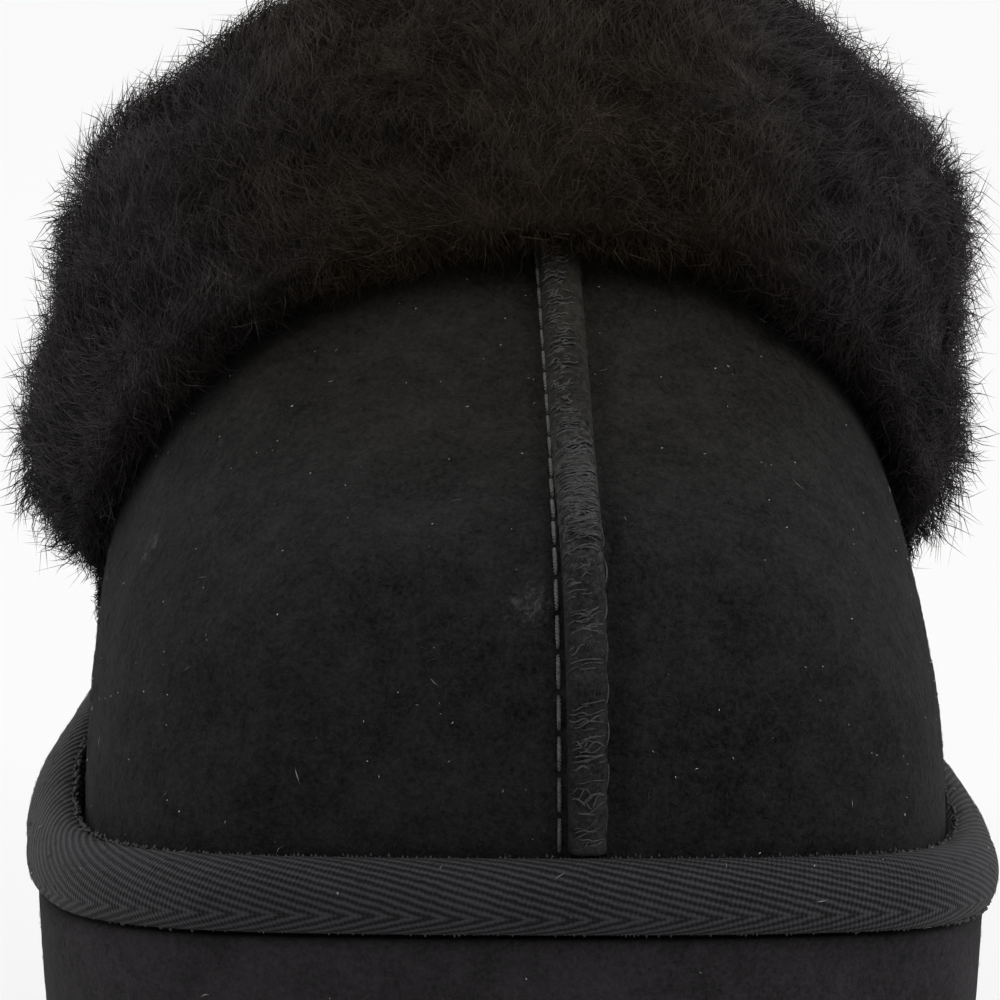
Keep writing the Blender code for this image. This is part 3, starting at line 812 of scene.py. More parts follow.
def make_ridge(material):
    """The raised seam: a rounded ridge, a little thicker at its threads."""
    places = np.arange(SEAM_START, SEAM.length - SEAM_STEP, SEAM_STEP)
    sides = np.sin(np.linspace(-1, 1, 17) * math.pi / 2) * SEAM_WIDTH / 2
    swell = 1 + 0.06 * np.cos((places - SEAM_START) / THREAD_PITCH * 2 * math.pi)
    swell *= 1 + 0.10 * mixed_noise(np.stack([places, 0 * places, 0 * places], axis=1), 0.0022, 21)
    wide = sides * seam_share(places)[:, None]
    top = SEAM.at(places[:, None], wide, seam_dome(sides) * swell[:, None])
    under = SEAM.at(places[:, None], wide[:, ::-1], 0.1 * GAP)
    rings = np.concatenate([top, under], axis=1)
    rows, columns = rings.shape[:2]
    faces = [grid_faces(rows, columns, wrap_columns=True)]
    faces += [np.arange(columns)[None, ::-1], np.arange(columns)[None] + (rows - 1) * columns]
    return add_piece("seam_ridge", rings.reshape(-1, 3), faces, material, "suede", ["centre_seam"])


def make_threads(material):
    """Bundles of cross threads over the ridge, and the loops that lock them along its edge."""
    chance = np.random.default_rng(SEED)
    t = np.linspace(0, 1, THREAD_POINTS)
    paths = []
    half = SEAM_WIDTH / 2
    run = np.arange(SEAM_START + 0.0004, SEAM.length - 0.001, THREAD_STEP)
    dense = run[(run > OPEN_SEAM) & (run < SMOOTH_SEAM)]
    for place in np.concatenate([run, dense, dense]):
        cycle = (place - SEAM_START) % THREAD_PITCH / THREAD_PITCH
        if cycle > BUNDLE_SHARE and place < OPEN_SEAM and chance.uniform() < BARE_SHARE:
            continue
        smooth = ease((place - SMOOTH_SEAM) / 0.010)
        first = chance.uniform(-1.0, -0.2)
        wide, short = first + chance.uniform(0.6, 2.2), first + chance.uniform(0.2, 0.9)
        last = (1 - smooth) * min(1.0, wide) + smooth * short
        side = np.linspace(first, last, THREAD_POINTS) * half
        tilt = chance.normal(0.0010, 0.0006) * (last - first) / 2
        wave = chance.normal(0, 0.00024) * np.sin(t * math.pi * chance.uniform(1, 3))
        along = np.clip(place + tilt * t + wave, 0, SEAM.length - SEAM_STEP)
        lift = THREAD_RADIUS * (chance.uniform(-0.4, 0.9) + 0.5 * np.sin(t * math.pi * chance.uniform(1, 4)))
        paths.append(SEAM.at(along, side * seam_share(along), seam_dome(side) + lift))
    for place in np.arange(SEAM_START + 0.0008, OPEN_SEAM, THREAD_PITCH):
        reach = place + 0.0014 + t * (THREAD_PITCH - 0.0008)
        side = half * (0.92 + 0.12 * np.sin(t * math.pi)) + chance.normal(0, 0.00006)
        paths.append(SEAM.at(reach, side * seam_share(reach), seam_dome(side) + 0.2 * THREAD_RADIUS))
    taper = np.sin(np.linspace(0.05, 0.95, THREAD_POINTS) * math.pi) ** 0.35
    radii = taper * THREAD_RADIUS * chance.uniform(0.5, 1.1, (len(paths), 1))
    add_piece("seam_threads", *tubes(np.array(paths), radii, 5), material, "thread")


def make_stitches(material):
    """The running stitch beside the ridge, of two twisted plies."""
    t = np.linspace(0, 1, PLY_POINTS)
    dip = np.sin(t * math.pi) ** 0.5
    plies = []
    for place in np.arange(SEAM_START - 0.0002, SEAM.length - STITCH_LENGTH, THREAD_PITCH):
        drift = 0.0005 * ease((place - 0.030) / 0.030)
        for turn in (0, math.pi):
            twist = t * 2 * math.pi * STITCH_LENGTH / PLY_PITCH + turn
            side = GROOVE_SIDE + drift + 0.00011 * np.cos(twist)
            height = -0.00040 + 0.00056 * dip + 0.00012 * np.sin(twist)
            plies.append(SEAM.at(place + t * STITCH_LENGTH, side, height))
    radii = PLY_RADIUS * np.sin(np.linspace(0.02, 0.98, PLY_POINTS) * math.pi) ** 0.3
    stitches = tubes(np.array(plies), np.broadcast_to(radii, (len(plies), PLY_POINTS)), 5)
    add_piece("seam_stitches", *stitches, material, "thread")


# Rings round the sole


def around(out, height, stations):
    """A ring of points round the sole, from the toe down the lateral side and up the medial one."""
    runs = []
    for side, angles in ((LATERAL, stations), (MEDIAL, stations[-2:0:-1])):
        distance = out(OUTLINE.at(side, angles, 0)[1]) if callable(out) else out
        x, y = OUTLINE.at(side, angles, distance)
        runs.append(np.stack([x, y, height(y)], axis=-1))
    return np.concatenate(runs) + SHIFT


def even_stations(count):
    """Station angles that lie about evenly along the edge."""
    fine = np.linspace(0, math.pi, 4000)
    gone = 0
    for side in (LATERAL, MEDIAL):
        x, y = OUTLINE.at(side, fine, 0)
        gone = gone + np.concatenate([[0], np.cumsum(np.hypot(np.diff(x), np.diff(y)))])
    return np.interp(np.linspace(0, gone[-1], count + 1), gone, fine)


def slab_faces(rings, count):
    """The walls through rings of points, and ladder caps straight across."""
    last = count * (rings - 1)
    k = np.arange(1, count // 2 - 1)
    caps = []
    for a, turn in ((0, 1), (last, -1)):
        quads = np.stack([a + k, a + k + 1, a + count - k - 1, a + count - k], axis=1)
        half = a + count // 2
        ends = np.array([[a, a + 1, a + count - 1], [half - 1, half, half + 1]])
        caps += [quads[:, ::turn], ends[:, ::turn]]
    return [grid_faces(rings, count, wrap_columns=True)[:, ::-1]] + caps


def outward_at(stations):
    """Unit directions away from the sole at each point of a ring."""
    return unit(around(1.0, np.zeros_like, stations) - around(0.0, np.zeros_like, stations))


# How far the cover leans to the lateral side at the toe, from where and over what length
COVER_LEAN, COVER_LEAN_FROM, COVER_LEAN_SPAN = 0.0008, -0.04, 0.05


def make_platform(material):
    """The platform's suede cover, with a soft edge under the tape and a turned edge at the tread."""
    stations = even_stations(RING_STATIONS)

    def level(share):
        return lambda y: plate_top(y) + GAP + share * (top_line(y) - plate_top(y) - GAP)

    # (distance outside the edge, share of the height)
    section = (
        (-PLATFORM_TUCK - PLATFORM_EDGE / 2, 0.0),
        (-PLATFORM_TUCK - PLATFORM_EDGE / 8, 0.012),
        (-PLATFORM_TUCK + PLATFORM_EDGE / 4, 0.05),
        (-0.80 * PLATFORM_TUCK, 0.12),
        (-0.55 * PLATFORM_TUCK, 0.28),
        (-0.34 * PLATFORM_TUCK, 0.45),
        (-0.17 * PLATFORM_TUCK, 0.65),
        (-0.05 * PLATFORM_TUCK, 0.85),
        (0.0, 0.945),
        (-PLATFORM_EDGE / 6, 0.985),
        (-PLATFORM_EDGE / 2, 1.0),
    )
    rings = np.array([around(out, level(share), stations) for out, share in section])
    count = rings.shape[1]
    flat = rings.reshape(-1, 3)
    relief = 0.00018 * mixed_noise(flat, 0.018, 4).reshape(len(section), count, 1)
    rings[1:-1] += relief[1:-1] * outward_at(stations)
    rings[..., 0] -= COVER_LEAN * ease((COVER_LEAN_FROM - rings[..., 1]) / COVER_LEAN_SPAN)
    faces = slab_faces(len(section), count)
    points = rings.reshape(-1, 3)
    return add_piece("platform_cover", points, faces, material, "platform suede", ["platform"])


# The tape's two edges: (distance outside the sole's edge, share of the tape's height, which way up)
SELVEDGES = ((-UPPER_INSET + 0.0010, 0.965, 1.0), (-0.0001, 0.055, -0.6))
SELVEDGE_SPREAD = 0.0002

# Where the skin's edge shows: (side, from this rise, up to this rise)
THROAT_EDGES = ((LATERAL, 0.38, 0.48), (MEDIAL, 0.40, 0.58))
THROAT_EDGE_POINTS = 60
THROAT_EDGE_RADIUS = 0.00036


def make_selvedge(material):
    """The turned edges of the tape: a row of small loops above and one below."""
    chance = np.random.default_rng(SEED + 7)
    stations = even_stations(4 * RING_STATIONS)
    paths = []
    for out, up, lean in SELVEDGES:
        ring = around(out, lambda y, up=up: top_line(y) + GAP + up * BINDING_HEIGHT, stations)
        step = np.roll(ring, -1, axis=0) - ring
        away = unit(np.cross(step, (0.0, 0.0, 1.0))) * chance.normal(0, SELVEDGE_SPREAD, (len(ring), 1))
        rise = np.abs(chance.normal(0.0001, SELVEDGE_SPREAD, (len(ring), 1))) * (0.0, 0.0, lean)
        waist = ring + 0.5 * step + away + rise
        paths.append(np.stack([ring - 0.1 * step, waist, ring + 1.1 * step], axis=1))
    paths = np.concatenate(paths)
    radii = even_radii(chance, 0.00013, 0.00032, len(paths))
    add_piece("tape_selvedge", *tubes(paths, radii, 4), material, "twill tape")


def make_throat_edge(material):
    """The narrow turned edge of the skin, which shows where the wool lies thin."""
    paths = []
    for side, low, high in THROAT_EDGES:
        rise = np.linspace(low, high, THROAT_EDGE_POINTS)
        angle = station_angle(throat_line(rise) - 0.0004)
        path = upper_point(side, angle, rise, 0.0003)
        wander = np.stack([mixed_noise(path, 0.003, k) for k in (31, 32, 33)], axis=1)
        paths.append(path + 0.00022 * wander)
    taper = np.sin(np.linspace(0.02, 0.98, THROAT_EDGE_POINTS) * math.pi) ** 0.6
    radii = np.stack([THROAT_EDGE_RADIUS * taper] * len(paths))
    add_piece("throat_edge", *tubes(np.array(paths), radii, 8), material, "suede")


# How far the tape is pulled in on the medial front, and how uneven it is
TAPE_TIGHT = 0.0009
TAPE_UNEVEN = 0.00022


def make_binding(material):
    """The tape rolled round the footbed's edge, a little uneven where it was pulled tight."""
    stations = even_stations(2 * RING_STATIONS)
    inner = -UPPER_INSET + GAP
    width = BINDING_OVERHANG - inner
    section = np.array(BINDING_SECTION) * (width, BINDING_HEIGHT) + (inner, GAP)
    profile = closed_spline(section, PROFILE_STEPS)
    profile[:, 0] = np.maximum(profile[:, 0], section[0, 0])
    profile[:, 1] = np.maximum(profile[:, 1], 0.02 * BINDING_HEIGHT + GAP)
    rings = np.array([around(out, lambda y, up=up: top_line(y) + up, stations) for out, up in profile])
    rows, count = rings.shape[:2]
    pull = mixed_noise(rings[0], 0.010, 5)[None, :, None] * TAPE_UNEVEN
    share = ((profile[:, 0] - inner) / width)[:, None, None]
    rings += pull * share * outward_at(stations)
    x, y = rings[..., 0], rings[..., 1]
    tight = ease((x - 0.030) / 0.012) * ease((y + 0.122) / 0.012) * ease((0.0 - y) / 0.03)
    rings[..., 0] -= TAPE_TIGHT * tight
    spine = profile - (BINDING_OVERHANG, TWILL_SPINE * BINDING_HEIGHT)
    middle = np.argmin(np.hypot(spine[:, 0], spine[:, 1]))
    around_at = gone_along(once_round(profile))
    along_at = gone_along(once_round(around(0.0, np.zeros_like, stations)))
    faces = grid_faces(rows, count, wrap_rows=True, wrap_columns=True)
    obj = add_piece("twill_binding", rings.reshape(-1, 3), [faces], material, "twill tape", ["binding"])
    r, c = np.divmod(np.arange(rows * count), count)
    loop_r = np.stack([r, r, r + 1, r + 1], axis=1)
    loop_c = np.stack([c, c + 1, c + 1, c], axis=1)
    weave = np.stack([-along_at[loop_c], around_at[loop_r] - around_at[middle], 0 * loop_r], axis=-1)
    layer = obj.data.attributes.new("weave", "FLOAT_VECTOR", "CORNER")
    layer.data.foreach_set("vector", weave.astype(np.float32).ravel())
    return obj


# Wool


def sample_faces(points, triangles, count, chance):
    """Random points on triangles, as (places, which triangle, normals)."""
    a, b, c = (points[triangles[:, i]] for i in range(3))
    cross = np.cross(b - a, c - a)
    area = np.linalg.norm(cross, axis=1)
    which = chance.choice(len(triangles), count, p=area / area.sum())
    u, v = chance.uniform(size=(2, count, 1))
    over = u + v > 1
    u, v = np.where(over, 1 - u, u), np.where(over, 1 - v, v)
    places = a[which] + u * (b[which] - a[which]) + v * (c[which] - a[which])
    return places, which, unit(cross)[which]


def clumped(roots, directions, lengths, clump_roots, clump_tips, pull):
    """Paths of strands that bend towards their clump's tip. Each has a root, a waist and a tip."""
    tree = tree_of(clump_roots)
    nearest = np.array([tree.find(p)[1] for p in roots])
    own_tip = roots + directions * lengths[:, None]
    tips = own_tip + pull[:, None] * (clump_tips[nearest] - own_tip)
    waist = roots + 0.42 * (own_tip - roots) + 0.10 * (tips - own_tip)
    return roots, waist, tips


# The collar's section, outside the upper and then inside it: (share of the way from the throat to
# the rear edge, share of the pile, lift of the locks)
FLEECE_OUTSIDE = (
    (0.00, 0.08, 0.0),
    (-0.11, 0.17, 0.7),
    (-0.10, 0.34, 0.9),
    (0.00, 0.68, 1.0),
    (0.16, 0.95, 1.0),
    (0.38, 1.06, 1.0),
    (0.66, 1.04, 1.0),
    (0.92, 0.90, 1.0),
    (1.12, 0.58, 0.9),
    (1.20, 0.16, 0.7),
)
FLEECE_INSIDE = (
    (1.17, 0.40, 0.6),
    (1.02, 1.00, 0.5),
    (0.84, 0.92, 0.0),
    (0.74, 0.40, 0.0),
)
# The depth of the wool round the collar, from the footbed up to the ridge: (rise, share of the pile
# on the lateral side, share of it on the medial side)
FLEECE_DEPTH = (
    (0.11, 0.03, 0.03),
    (0.16, 0.02, 0.02),
    (0.18, 0.06, 0.03),
    (0.20, 0.24, 0.05),
    (0.22, 0.40, 0.10),
    (0.24, 0.44, 0.18),
    (0.27, 0.42, 0.28),
    (0.32, 0.45, 0.43),
    (0.37, 0.51, 0.52),
    (0.42, 0.58, 0.61),
    (0.50, 0.71, 0.86),
    (0.56, 0.76, 0.87),
    (0.65, 0.73, 0.84),
    (0.78, 0.78, 0.88),
    (0.88, 0.84, 0.95),
    (1.00, 0.96, 0.96),
)
FIRST_RISE = 0.11
REAR_PILE = 0.0024
COLLAR_PILE = 0.0165
COLLAR_LINING = 0.0060
COLLAR_CLEARANCE = 0.00045
FLEECE_LIFT = 0.0018
FLEECE_ROWS = 165
FLEECE_COLUMNS = 165
SKIN_ROWS = 12
DEPTH_STEPS = 160

# The curls of the fleece: (height, size, seed) of ridges, then of broad swells
FLEECE_RIDGES = ((0.00036, 0.0030, 11), (0.00018, 0.0013, 12))
FLEECE_SWELL = (0.0016, 0.012, 13)
FLEECE_LOCKS = (0.0011, 0.0085, 14)

# The fibres of the collar, and how far back over it its front reaches, as a share of its rows
COLLAR_FIBRES = 71000
RIM_FIBRES = 11000
RIM_ROWS = 24
FRONT_SHARE = 0.45


def smooth_rows(values, count):
    """Even rows on a curve through the control rows."""
    last = len(values) - 1
    place = np.linspace(0, last, count)
    i = np.minimum(place.astype(int), last - 1)
    t = (place - i).reshape(-1, *[1] * (values.ndim - 1))
    before, a = values[np.maximum(i - 1, 0)], values[i]
    b, after = values[i + 1], values[np.minimum(i + 2, last)]
    bend = (2 * before - 5 * a + 4 * b - after) * t**2 + (3 * a - before - 3 * b + after) * t**3
    return 0.5 * (2 * a + (b - before) * t + bend)


def fleece_grids():
    """The fleece's outer face and its skin side, without any relief."""
    half = np.linspace(FIRST_RISE, 1, FLEECE_COLUMNS)
    rises = np.concatenate([half, half[-2::-1]])
    depth = smooth_rows(np.array(FLEECE_DEPTH), DEPTH_STEPS)
    lateral = np.interp(half, depth[:, 0], depth[:, 1])
    medial = np.interp(half[-2::-1], depth[:, 0], depth[:, 2])
    pile = COLLAR_PILE * np.concatenate([lateral, medial])
    lift = FLEECE_LIFT * np.minimum(1, pile / (0.5 * COLLAR_PILE))
    throat = throat_line(rises)
    way = back_line(rises) + GAP - throat

    def grid(shares, outs):
        angle = station_angle(throat + shares * way)
        cut = FLEECE_COLUMNS
        left = upper_point(LATERAL, angle[:, :cut], rises[:cut], outs[:, :cut])
        right = upper_point(MEDIAL, angle[:, cut:], rises[cut:], outs[:, cut:])
        return np.concatenate([left, right], axis=1)

    flat = np.ones(len(rises))
    rear = np.maximum(pile, REAR_PILE)
    outs = [
        COLLAR_CLEARANCE + up * (rear if share > 0.8 else pile) + locks * lift
        for share, up, locks in FLEECE_OUTSIDE
    ]
    outs += [-UPPER_WALL - GAP - flat * up * COLLAR_LINING for _, up, _ in FLEECE_INSIDE]
    shares = [share * flat for share, _, _ in FLEECE_OUTSIDE + FLEECE_INSIDE]
    wool = grid(smooth_rows(np.array(shares), FLEECE_ROWS), smooth_rows(np.array(outs), FLEECE_ROWS))
    bends = np.array([
        (0.0, COLLAR_CLEARANCE),
        (1.0, COLLAR_CLEARANCE),
        (1.0, -UPPER_WALL - GAP),
        (0.74, -UPPER_WALL - GAP),
    ])
    place = np.interp(np.arange(SKIN_ROWS), (0, SKIN_ROWS - 4, SKIN_ROWS - 3, SKIN_ROWS - 1), range(4))
    shares, outs = (np.interp(place, range(4), bends[:, i])[:, None] * flat for i in range(2))
    return wool, grid(shares, outs), pile


def grid_normals(grid, inside):
    """Unit normals of a grid of points, away from the inside points."""
    normals = unit(np.cross(np.gradient(grid, axis=0), np.gradient(grid, axis=1)))
    turn = np.sign(((grid - inside) * normals).sum())
    return normals * turn


def make_fleece(material):
    """The collar's body of wool: small soft curls on one closed form."""
    wool, skin, pile = fleece_grids()
    rows, columns = wool.shape[:2]
    inner = skin[np.linspace(0, SKIN_ROWS - 1, rows).astype(int)]
    normals = grid_normals(wool, inner)
    flat = wool.reshape(-1, 3)
    relief = 0
    for height, size, seed in FLEECE_RIDGES:
        relief = relief + height * (1 - 2 * np.abs(mixed_noise(flat, size, seed)))
    height, size, seed = FLEECE_SWELL
    relief = relief + height * mixed_noise(flat, size, seed)
    height, size, seed = FLEECE_LOCKS
    relief += height * (1 - 2 * np.abs(mixed_noise(flat, size, seed)))
    relief = np.maximum(relief, 0.3 * relief - 0.0002)
    relief *= np.tile(np.clip(pile / 0.006, 0.05, 1), rows)
    edge = np.minimum(np.arange(rows), np.arange(rows)[::-1])[:, None]
    ends = np.minimum(np.arange(columns), np.arange(columns)[::-1])[None, :]
    fade = ease(edge / 10) * ease(ends / 4)
    wool = wool + (relief.reshape(rows, columns) * fade)[..., None] * normals
    number = np.arange(rows * columns).reshape(rows, columns)
    base = rows * columns
    below = base + np.arange(SKIN_ROWS * columns).reshape(SKIN_ROWS, columns)
    faces = [grid_faces(rows, columns), grid_faces(SKIN_ROWS, columns)[:, ::-1] + base]
    for a, b in ((0, 0), (rows - 1, SKIN_ROWS - 1)):
        rim = [number[a, 1:], number[a, :-1], below[b, :-1], below[b, 1:]]
        faces.append(np.stack(rim if a == 0 else rim[::-1], axis=1))
    under = (np.arange(rows) * SKIN_ROWS) // rows
    for c, turn in ((0, 1), (columns - 1, -1)):
        step = under[1:] > under[:-1]
        upper_edge, lower_edge = number[:, c], below[under, c]
        tris = np.stack([upper_edge[:-1], upper_edge[1:], lower_edge[:-1]], axis=1)
        steps = np.stack([lower_edge[:-1], upper_edge[1:], lower_edge[1:]], axis=1)[step]
        faces += [tris[:, ::turn], steps[:, ::turn]]
    points = np.concatenate([wool.reshape(-1, 3), skin.reshape(-1, 3)])
    add_piece("fleece", points, faces, material, "sheepskin wool", ["collar"])
    return wool, inner, normals, pile


def directions_at(points, size, seed):
    """Smooth directions that wander over the wool."""
    offset = Vector((seed * 4.1, seed * 9.3, seed * 2.7))
    return np.array([noise.noise_vector(Vector(p) / size + offset) for p in points])


def rim_fibres(wool, skin_side, chance):
    """Short fibres that hang from the collar's front rim onto the suede."""
    columns = wool.shape[1]
    c = chance.integers(2, columns - 2, RIM_FIBRES)
    r = chance.integers(0, RIM_ROWS, RIM_FIBRES)
    roots = wool[r, c] + chance.normal(0, 0.0003, (RIM_FIBRES, 3))
    forward = unit(skin_side[0] - skin_side[60])[c]
    aside = unit(np.gradient(skin_side[0], axis=0))[c]
    out = unit(np.cross(forward, aside))
    out *= np.sign(((wool[20] - skin_side[0])[c] * out).sum(axis=1, keepdims=True))
    reach = np.clip(np.linalg.norm(wool[20] - skin_side[0], axis=1)[c] / 0.008, 0.5, 1)[:, None]
    length = (0.0012 + 0.0056 * chance.beta(1.3, 2.2, (RIM_FIBRES, 1))) * reach
    height = np.maximum(((roots - skin_side[0, c]) * out).sum(axis=1, keepdims=True), 0)
    lean = forward + chance.normal(0, 0.45, (RIM_FIBRES, 1)) * aside
    tips = roots + length * lean - chance.uniform(0.30, 0.90, (RIM_FIBRES, 1)) * height * out
    bend = chance.normal(0, 0.10, (RIM_FIBRES, 1)) * length
    waist = 0.5 * (roots + tips) + 0.12 * length * out + bend * aside
    radii = even_radii(chance, 0.000025, 0.000055, RIM_FIBRES)
    return np.stack([roots, waist, tips], axis=1), radii


def make_collar_wool(material, wool, skin_side, normals, pile):
    """The collar's fibres: fine, short and curled, most of them lying on the fleece."""
    chance = np.random.default_rng(SEED + 1)
    rows, columns = wool.shape[:2]
    step_r = np.linalg.norm(np.diff(wool, axis=0), axis=2)[:, :-1]
    step_c = np.linalg.norm(np.diff(wool, axis=1), axis=2)[:-1]
    area = step_r * step_c
    for share, density in ((FRONT_SHARE, 0.5), (0.80, 0.5), (0.94, 0)):
        area[int(share * rows):] *= density
    cell = chance.choice(area.size, COLLAR_FIBRES, p=(area / area.sum()).ravel())
    r, c = np.divmod(cell, columns - 1)
    u, v = chance.uniform(size=(2, COLLAR_FIBRES, 1))
    roots = wool[r, c] + u * (wool[r + 1, c] - wool[r, c]) + v * (wool[r, c + 1] - wool[r, c])
    out = normals[r, c]
    combed = unit(np.gradient(wool, axis=0))[r, c]
    forward = np.where(chance.uniform(size=COLLAR_FIBRES) < ease(1 - r / (0.16 * rows)), -1.2, 0.55)
    flow = forward[:, None] * combed + 1.5 * directions_at(roots, 0.0130, 1)
    flow += 1.0 * directions_at(roots, 0.0042, 2) + chance.normal(0, 0.22, roots.shape)
    flow[:, 2] -= 0.9 * ease((0.090 - roots[:, 2]) / 0.020)
    flow = unit(flow - out * (flow * out).sum(axis=1, keepdims=True))
    curl = unit(np.cross(flow, out))
    stand = chance.beta(1.2, 3.0, COLLAR_FIBRES)[:, None]
    length = chance.uniform(0.0028, 0.0064, (COLLAR_FIBRES, 1))
    length[chance.uniform(size=COLLAR_FIBRES) < 0.25] *= 1.6
    length *= (1 - 0.45 * stand) * np.clip(0.20 + pile[c][:, None] / 0.006, 0, 1)
    heading = unit((1.05 - stand) * flow + (0.10 + 0.9 * stand) * out)
    sway = length * (0.10 + chance.normal(0, 0.22, (COLLAR_FIBRES, 1)))
    start = roots - 0.0004 * out
    tips = roots + length * heading + 0.5 * sway * curl
    waist = roots + 0.5 * length * heading + 0.13 * length * out - 0.5 * sway * curl
    paths = np.stack([start, waist, tips], axis=1)
    radii = even_radii(chance, 0.000030, 0.000070, COLLAR_FIBRES)
    rim = tubes(*rim_fibres(wool, skin_side, chance), 3)
    # Painted shade: the rim fibres are a darker copy of the wool, where the collar's front rim meets the
    # suede.
    shaded_rim_material = wool_material("rim wool painted shade", (0.0100, 0.0090, 0.0080), 0.75, 0.08)
    add_piece("collar_wool_rim", *rim, shaded_rim_material, "sheepskin wool")
    lateral, front = start[:, 0] < 0, r < rows * FRONT_SHARE
    for place, at_place in (("front", front), ("back", ~front)):
        for side, at_side in (("lateral", lateral), ("medial", ~lateral)):
            kept = at_place & at_side
            fibres = tubes(paths[kept], radii[kept], 3)
            add_piece(f"collar_wool_{side}_{place}", *fibres, material, "sheepskin wool")


INSOLE_TUFTS = 6500
INSOLE_CLUMPS = INSOLE_TUFTS // 12
INSOLE_FACE_LOW = 0.036
LINING_TUFTS = 4000
TUFT_RADII = (0.00022, 0.00042)


def make_insole_wool(material):
    """Short curly wool all over the footbed."""
    chance = np.random.default_rng(SEED + 2)
    points, triangles = surface(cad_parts["insole"].data)
    centres = points[triangles].mean(axis=1)
    a, b, c = (points[triangles[:, i]] for i in range(3))
    upward = unit(np.cross(b - a, c - a))[:, 2]
    triangles = triangles[(upward > 0.25) & (centres[:, 2] > INSOLE_FACE_LOW)]
    roots, _, own = sample_faces(points, triangles, INSOLE_TUFTS, chance)
    seats, _, _ = sample_faces(points, triangles, INSOLE_CLUMPS, chance)
    heads = unit(np.array([0, 0, 0.8]) + chance.normal(0, 0.5, seats.shape))
    crests = seats + 0.0034 * heads
    directions = unit(own + chance.normal(0, 0.55, roots.shape))
    directions[:, 2] = np.abs(directions[:, 2])
    lengths = chance.uniform(0.0024, 0.0044, INSOLE_TUFTS)
    pull = chance.beta(2.0, 2.4, INSOLE_TUFTS) * 0.8
    paths = np.stack(clumped(roots - 0.0006 * own, directions, lengths, seats, crests, pull), axis=1)
    paths[:, 1] += chance.normal(0, 0.0004, paths[:, 1].shape)
    radii = even_radii(chance, *TUFT_RADII, INSOLE_TUFTS)
    add_piece("insole_wool", *tubes(paths, radii, 3), material, "sheepskin wool")


def make_lining_wool(material):
    """Short wool on the vamp's inside."""
    chance = np.random.default_rng(SEED + 3)
    count = LINING_TUFTS
    rise = chance.uniform(0.10, 1.0, count)
    side = np.where(chance.uniform(size=count) < 0.5, LATERAL, MEDIAL)
    angle = chance.uniform(0.35, 1.0, count) ** 0.7 * station_angle(back_line(rise) - 0.004)
    roots, inside = np.empty((count, 3)), np.empty((count, 3))
    for which in (LATERAL, MEDIAL):
        kept = side == which
        roots[kept] = upper_point(which, angle[kept], rise[kept], -UPPER_WALL)
        inside[kept] = upper_point(which, angle[kept], rise[kept], -UPPER_WALL - 0.001)
    inward = unit(inside - roots)
    directions = unit(inward + chance.normal(0, 0.5, roots.shape) + (0, 0.35, 0))
    lengths = chance.uniform(0.0022, 0.0044, count)
    tips = roots + directions * lengths[:, None]
    waist = roots + 0.45 * (tips - roots) + chance.normal(0, 0.0004, roots.shape)
    paths = np.stack([roots - 0.0002 * inward, waist, tips], axis=1)
    radii = even_radii(chance, *TUFT_RADII, count)
    add_piece("lining_wool", *tubes(paths, radii, 3), material, "sheepskin wool")


# Dust and lint

FIBRE_RADIUS = 0.000028
LIFTED = 0.00006

def make_fibres(name, material, slot, seed, carriers):
    """Specks and short fibres that lie on pieces. carriers holds (piece, specks, fibres) rows."""
    chance = np.random.default_rng(SEED + seed)
    paths, radii = [], []
    for obj, specks, fibres in carriers:
        points, triangles = surface(obj.data)
        triangles = triangles[: len(triangles) // 2] if obj.name == "vamp" else triangles
        count = specks + fibres
        places, _, normals = sample_faces(points, triangles, count, chance)
        flat = unit(np.cross(normals, chance.normal(0, 1, places.shape)))
        long = np.concatenate([
            chance.uniform(0.00008, 0.00022, specks),
            chance.uniform(0.0004, 0.0011, fibres),
        ])
        wide = np.concatenate([chance.uniform(0.00005, 0.00011, specks), np.full(fibres, FIBRE_RADIUS)])
        centre = places + LIFTED * normals
        bend = np.cross(normals, flat) * (long * chance.normal(0, 0.25, count))[:, None]
        ends = flat * long[:, None]
        paths.append(np.stack([centre - ends, centre + bend, centre + ends], axis=1))
        radii.append(np.repeat(wide[:, None], 3, axis=1))
    add_piece(name, *tubes(np.concatenate(paths), np.concatenate(radii), 3), material, slot)


# Stage


def make_stage():
    """A pale floor and even studio light."""
    shader = Shader("floor", (FLOOR_TONE,) * 3, 0.9)
    floor_mesh = bpy.data.meshes.new("floor")
    corners = [(x * FLOOR_HALF, y * FLOOR_HALF, 0) for x, y in ((-1, -1), (1, -1), (1, 1), (-1, 1))]
    floor_mesh.from_pydata(corners, [], [(0, 1, 2, 3)])
    shader.principled.inputs["Emission Color"].default_value = (1, 1, 1, 1)
    shader.principled.inputs["Emission Strength"].default_value = FLOOR_GLOW
    floor_mesh.materials.append(shader.material)
    floor = bpy.data.objects.new("floor", floor_mesh)
    bpy.context.scene.collection.objects.link(floor)

    world = bpy.data.worlds.new("studio")
    world.use_nodes = True
    background = world.node_tree.nodes["Background"]
    background.inputs["Color"].default_value = (1, 1, 1, 1)
    background.inputs["Strength"].default_value = BACKGROUND
    bpy.context.scene.world = world

    for name, place, size, power in STUDIO_LIGHTS:
        light = bpy.data.lights.new(name, "AREA")
        light.shape = "RECTANGLE"
        light.size, light.size_y = size
        light.energy = power
        lamp = bpy.data.objects.new(name, light)
        lamp.location = place
        towards = Vector(LIGHT_AIM) - Vector(place)
        lamp.rotation_euler = towards.to_track_quat("-Z", "Y").to_euler()
        bpy.context.scene.collection.objects.link(lamp)
        lamp.visible_camera = False


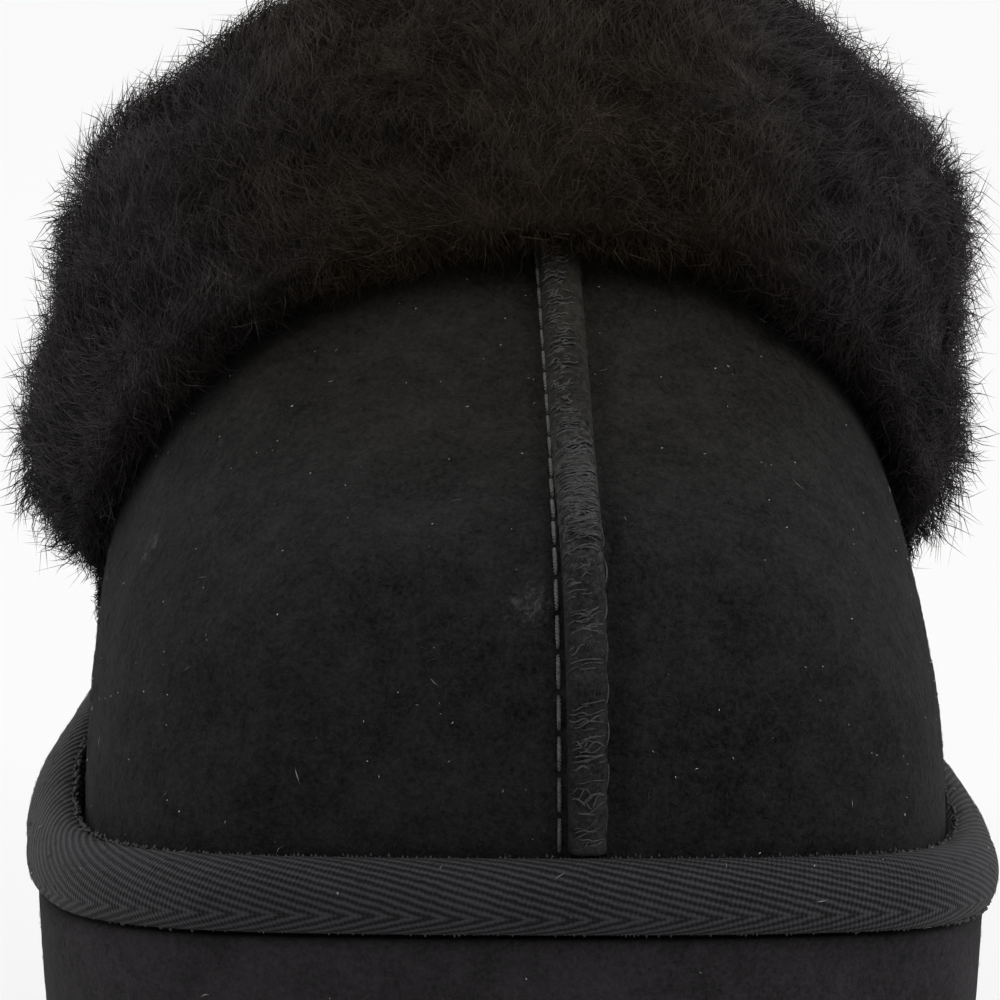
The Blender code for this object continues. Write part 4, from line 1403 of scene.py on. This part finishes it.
def make_camera():
    elevation = math.radians(CAMERA_ELEVATION)
    towards = Vector((0.0, -math.cos(elevation), math.sin(elevation)))
    data = bpy.data.cameras.new("camera")
    data.lens = CAMERA_LENS
    data.sensor_width = CAMERA_SENSOR
    camera = bpy.data.objects.new("camera", data)
    camera.location = Vector(CAMERA_AIM) + CAMERA_DISTANCE * towards
    camera.rotation_euler = towards.to_track_quat("Z", "Y").to_euler()
    bpy.context.scene.collection.objects.link(camera)
    bpy.context.scene.camera = camera


def paint_node(name, material):
    """The CAD node keeps its mesh and gets this material."""
    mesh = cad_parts[name].data
    mesh.materials.clear()
    mesh.materials.append(material)


RUBBED_SPOTS = [((0.0030, -0.1185, 0.0731), 0.0023, 0.7), ((-0.0380, -0.0800, 0.0722), 0.0022, 1.0)]
RUBBED_SEAM = [(tuple(SEAM.at(0.047, 0.0, 0.0)), 0.016, 0.85)]

bpy.context.scene.view_settings.view_transform = "Standard"
suede = suede_material("suede", (0.0072, 0.0072, 0.0071), RUBBED_SPOTS)
cover = suede_material("platform suede", (0.0146, 0.0134, 0.0146), low=0.5, high=1.6)
wool = wool_material("wool", (0.0150, 0.0142, 0.0138), 0.65, 0.15)

make_camera()
make_stage()
vamp = make_vamp(suede)
ridge = make_ridge(suede_material("seam suede", (0.0118, 0.0118, 0.0116), RUBBED_SEAM))
make_threads(thread_material("thread", 0.0090, 0.042))
make_stitches(thread_material("stitch thread", 0.026, 0.100))
platform = make_platform(cover)
binding = make_binding(twill_material())
make_selvedge(thread_material("selvedge", 0.012, 0.050))
make_throat_edge(suede_material("skin edge", (0.0150, 0.0142, 0.0155), low=0.5, high=1.6))
paint_node("outsole", rubber_material())
paint_node("insole", wool_base_material())
make_collar_wool(wool, *make_fleece(fleece_material()))
make_insole_wool(wool)
make_lining_wool(wool)
carriers = [(vamp, 420, 60), (platform, 260, 30), (binding, 120, 90)]
make_fibres("dust", dust_material(), "suede", 4, carriers)
carriers = [(vamp, 0, 6500), (platform, 0, 2200), (ridge, 0, 1500)]
make_fibres("suede_nap", nap_material(), "suede", 5, carriers)
make_fibres("tape_lint", nap_material(), "twill tape", 6, [(binding, 0, 2500)])
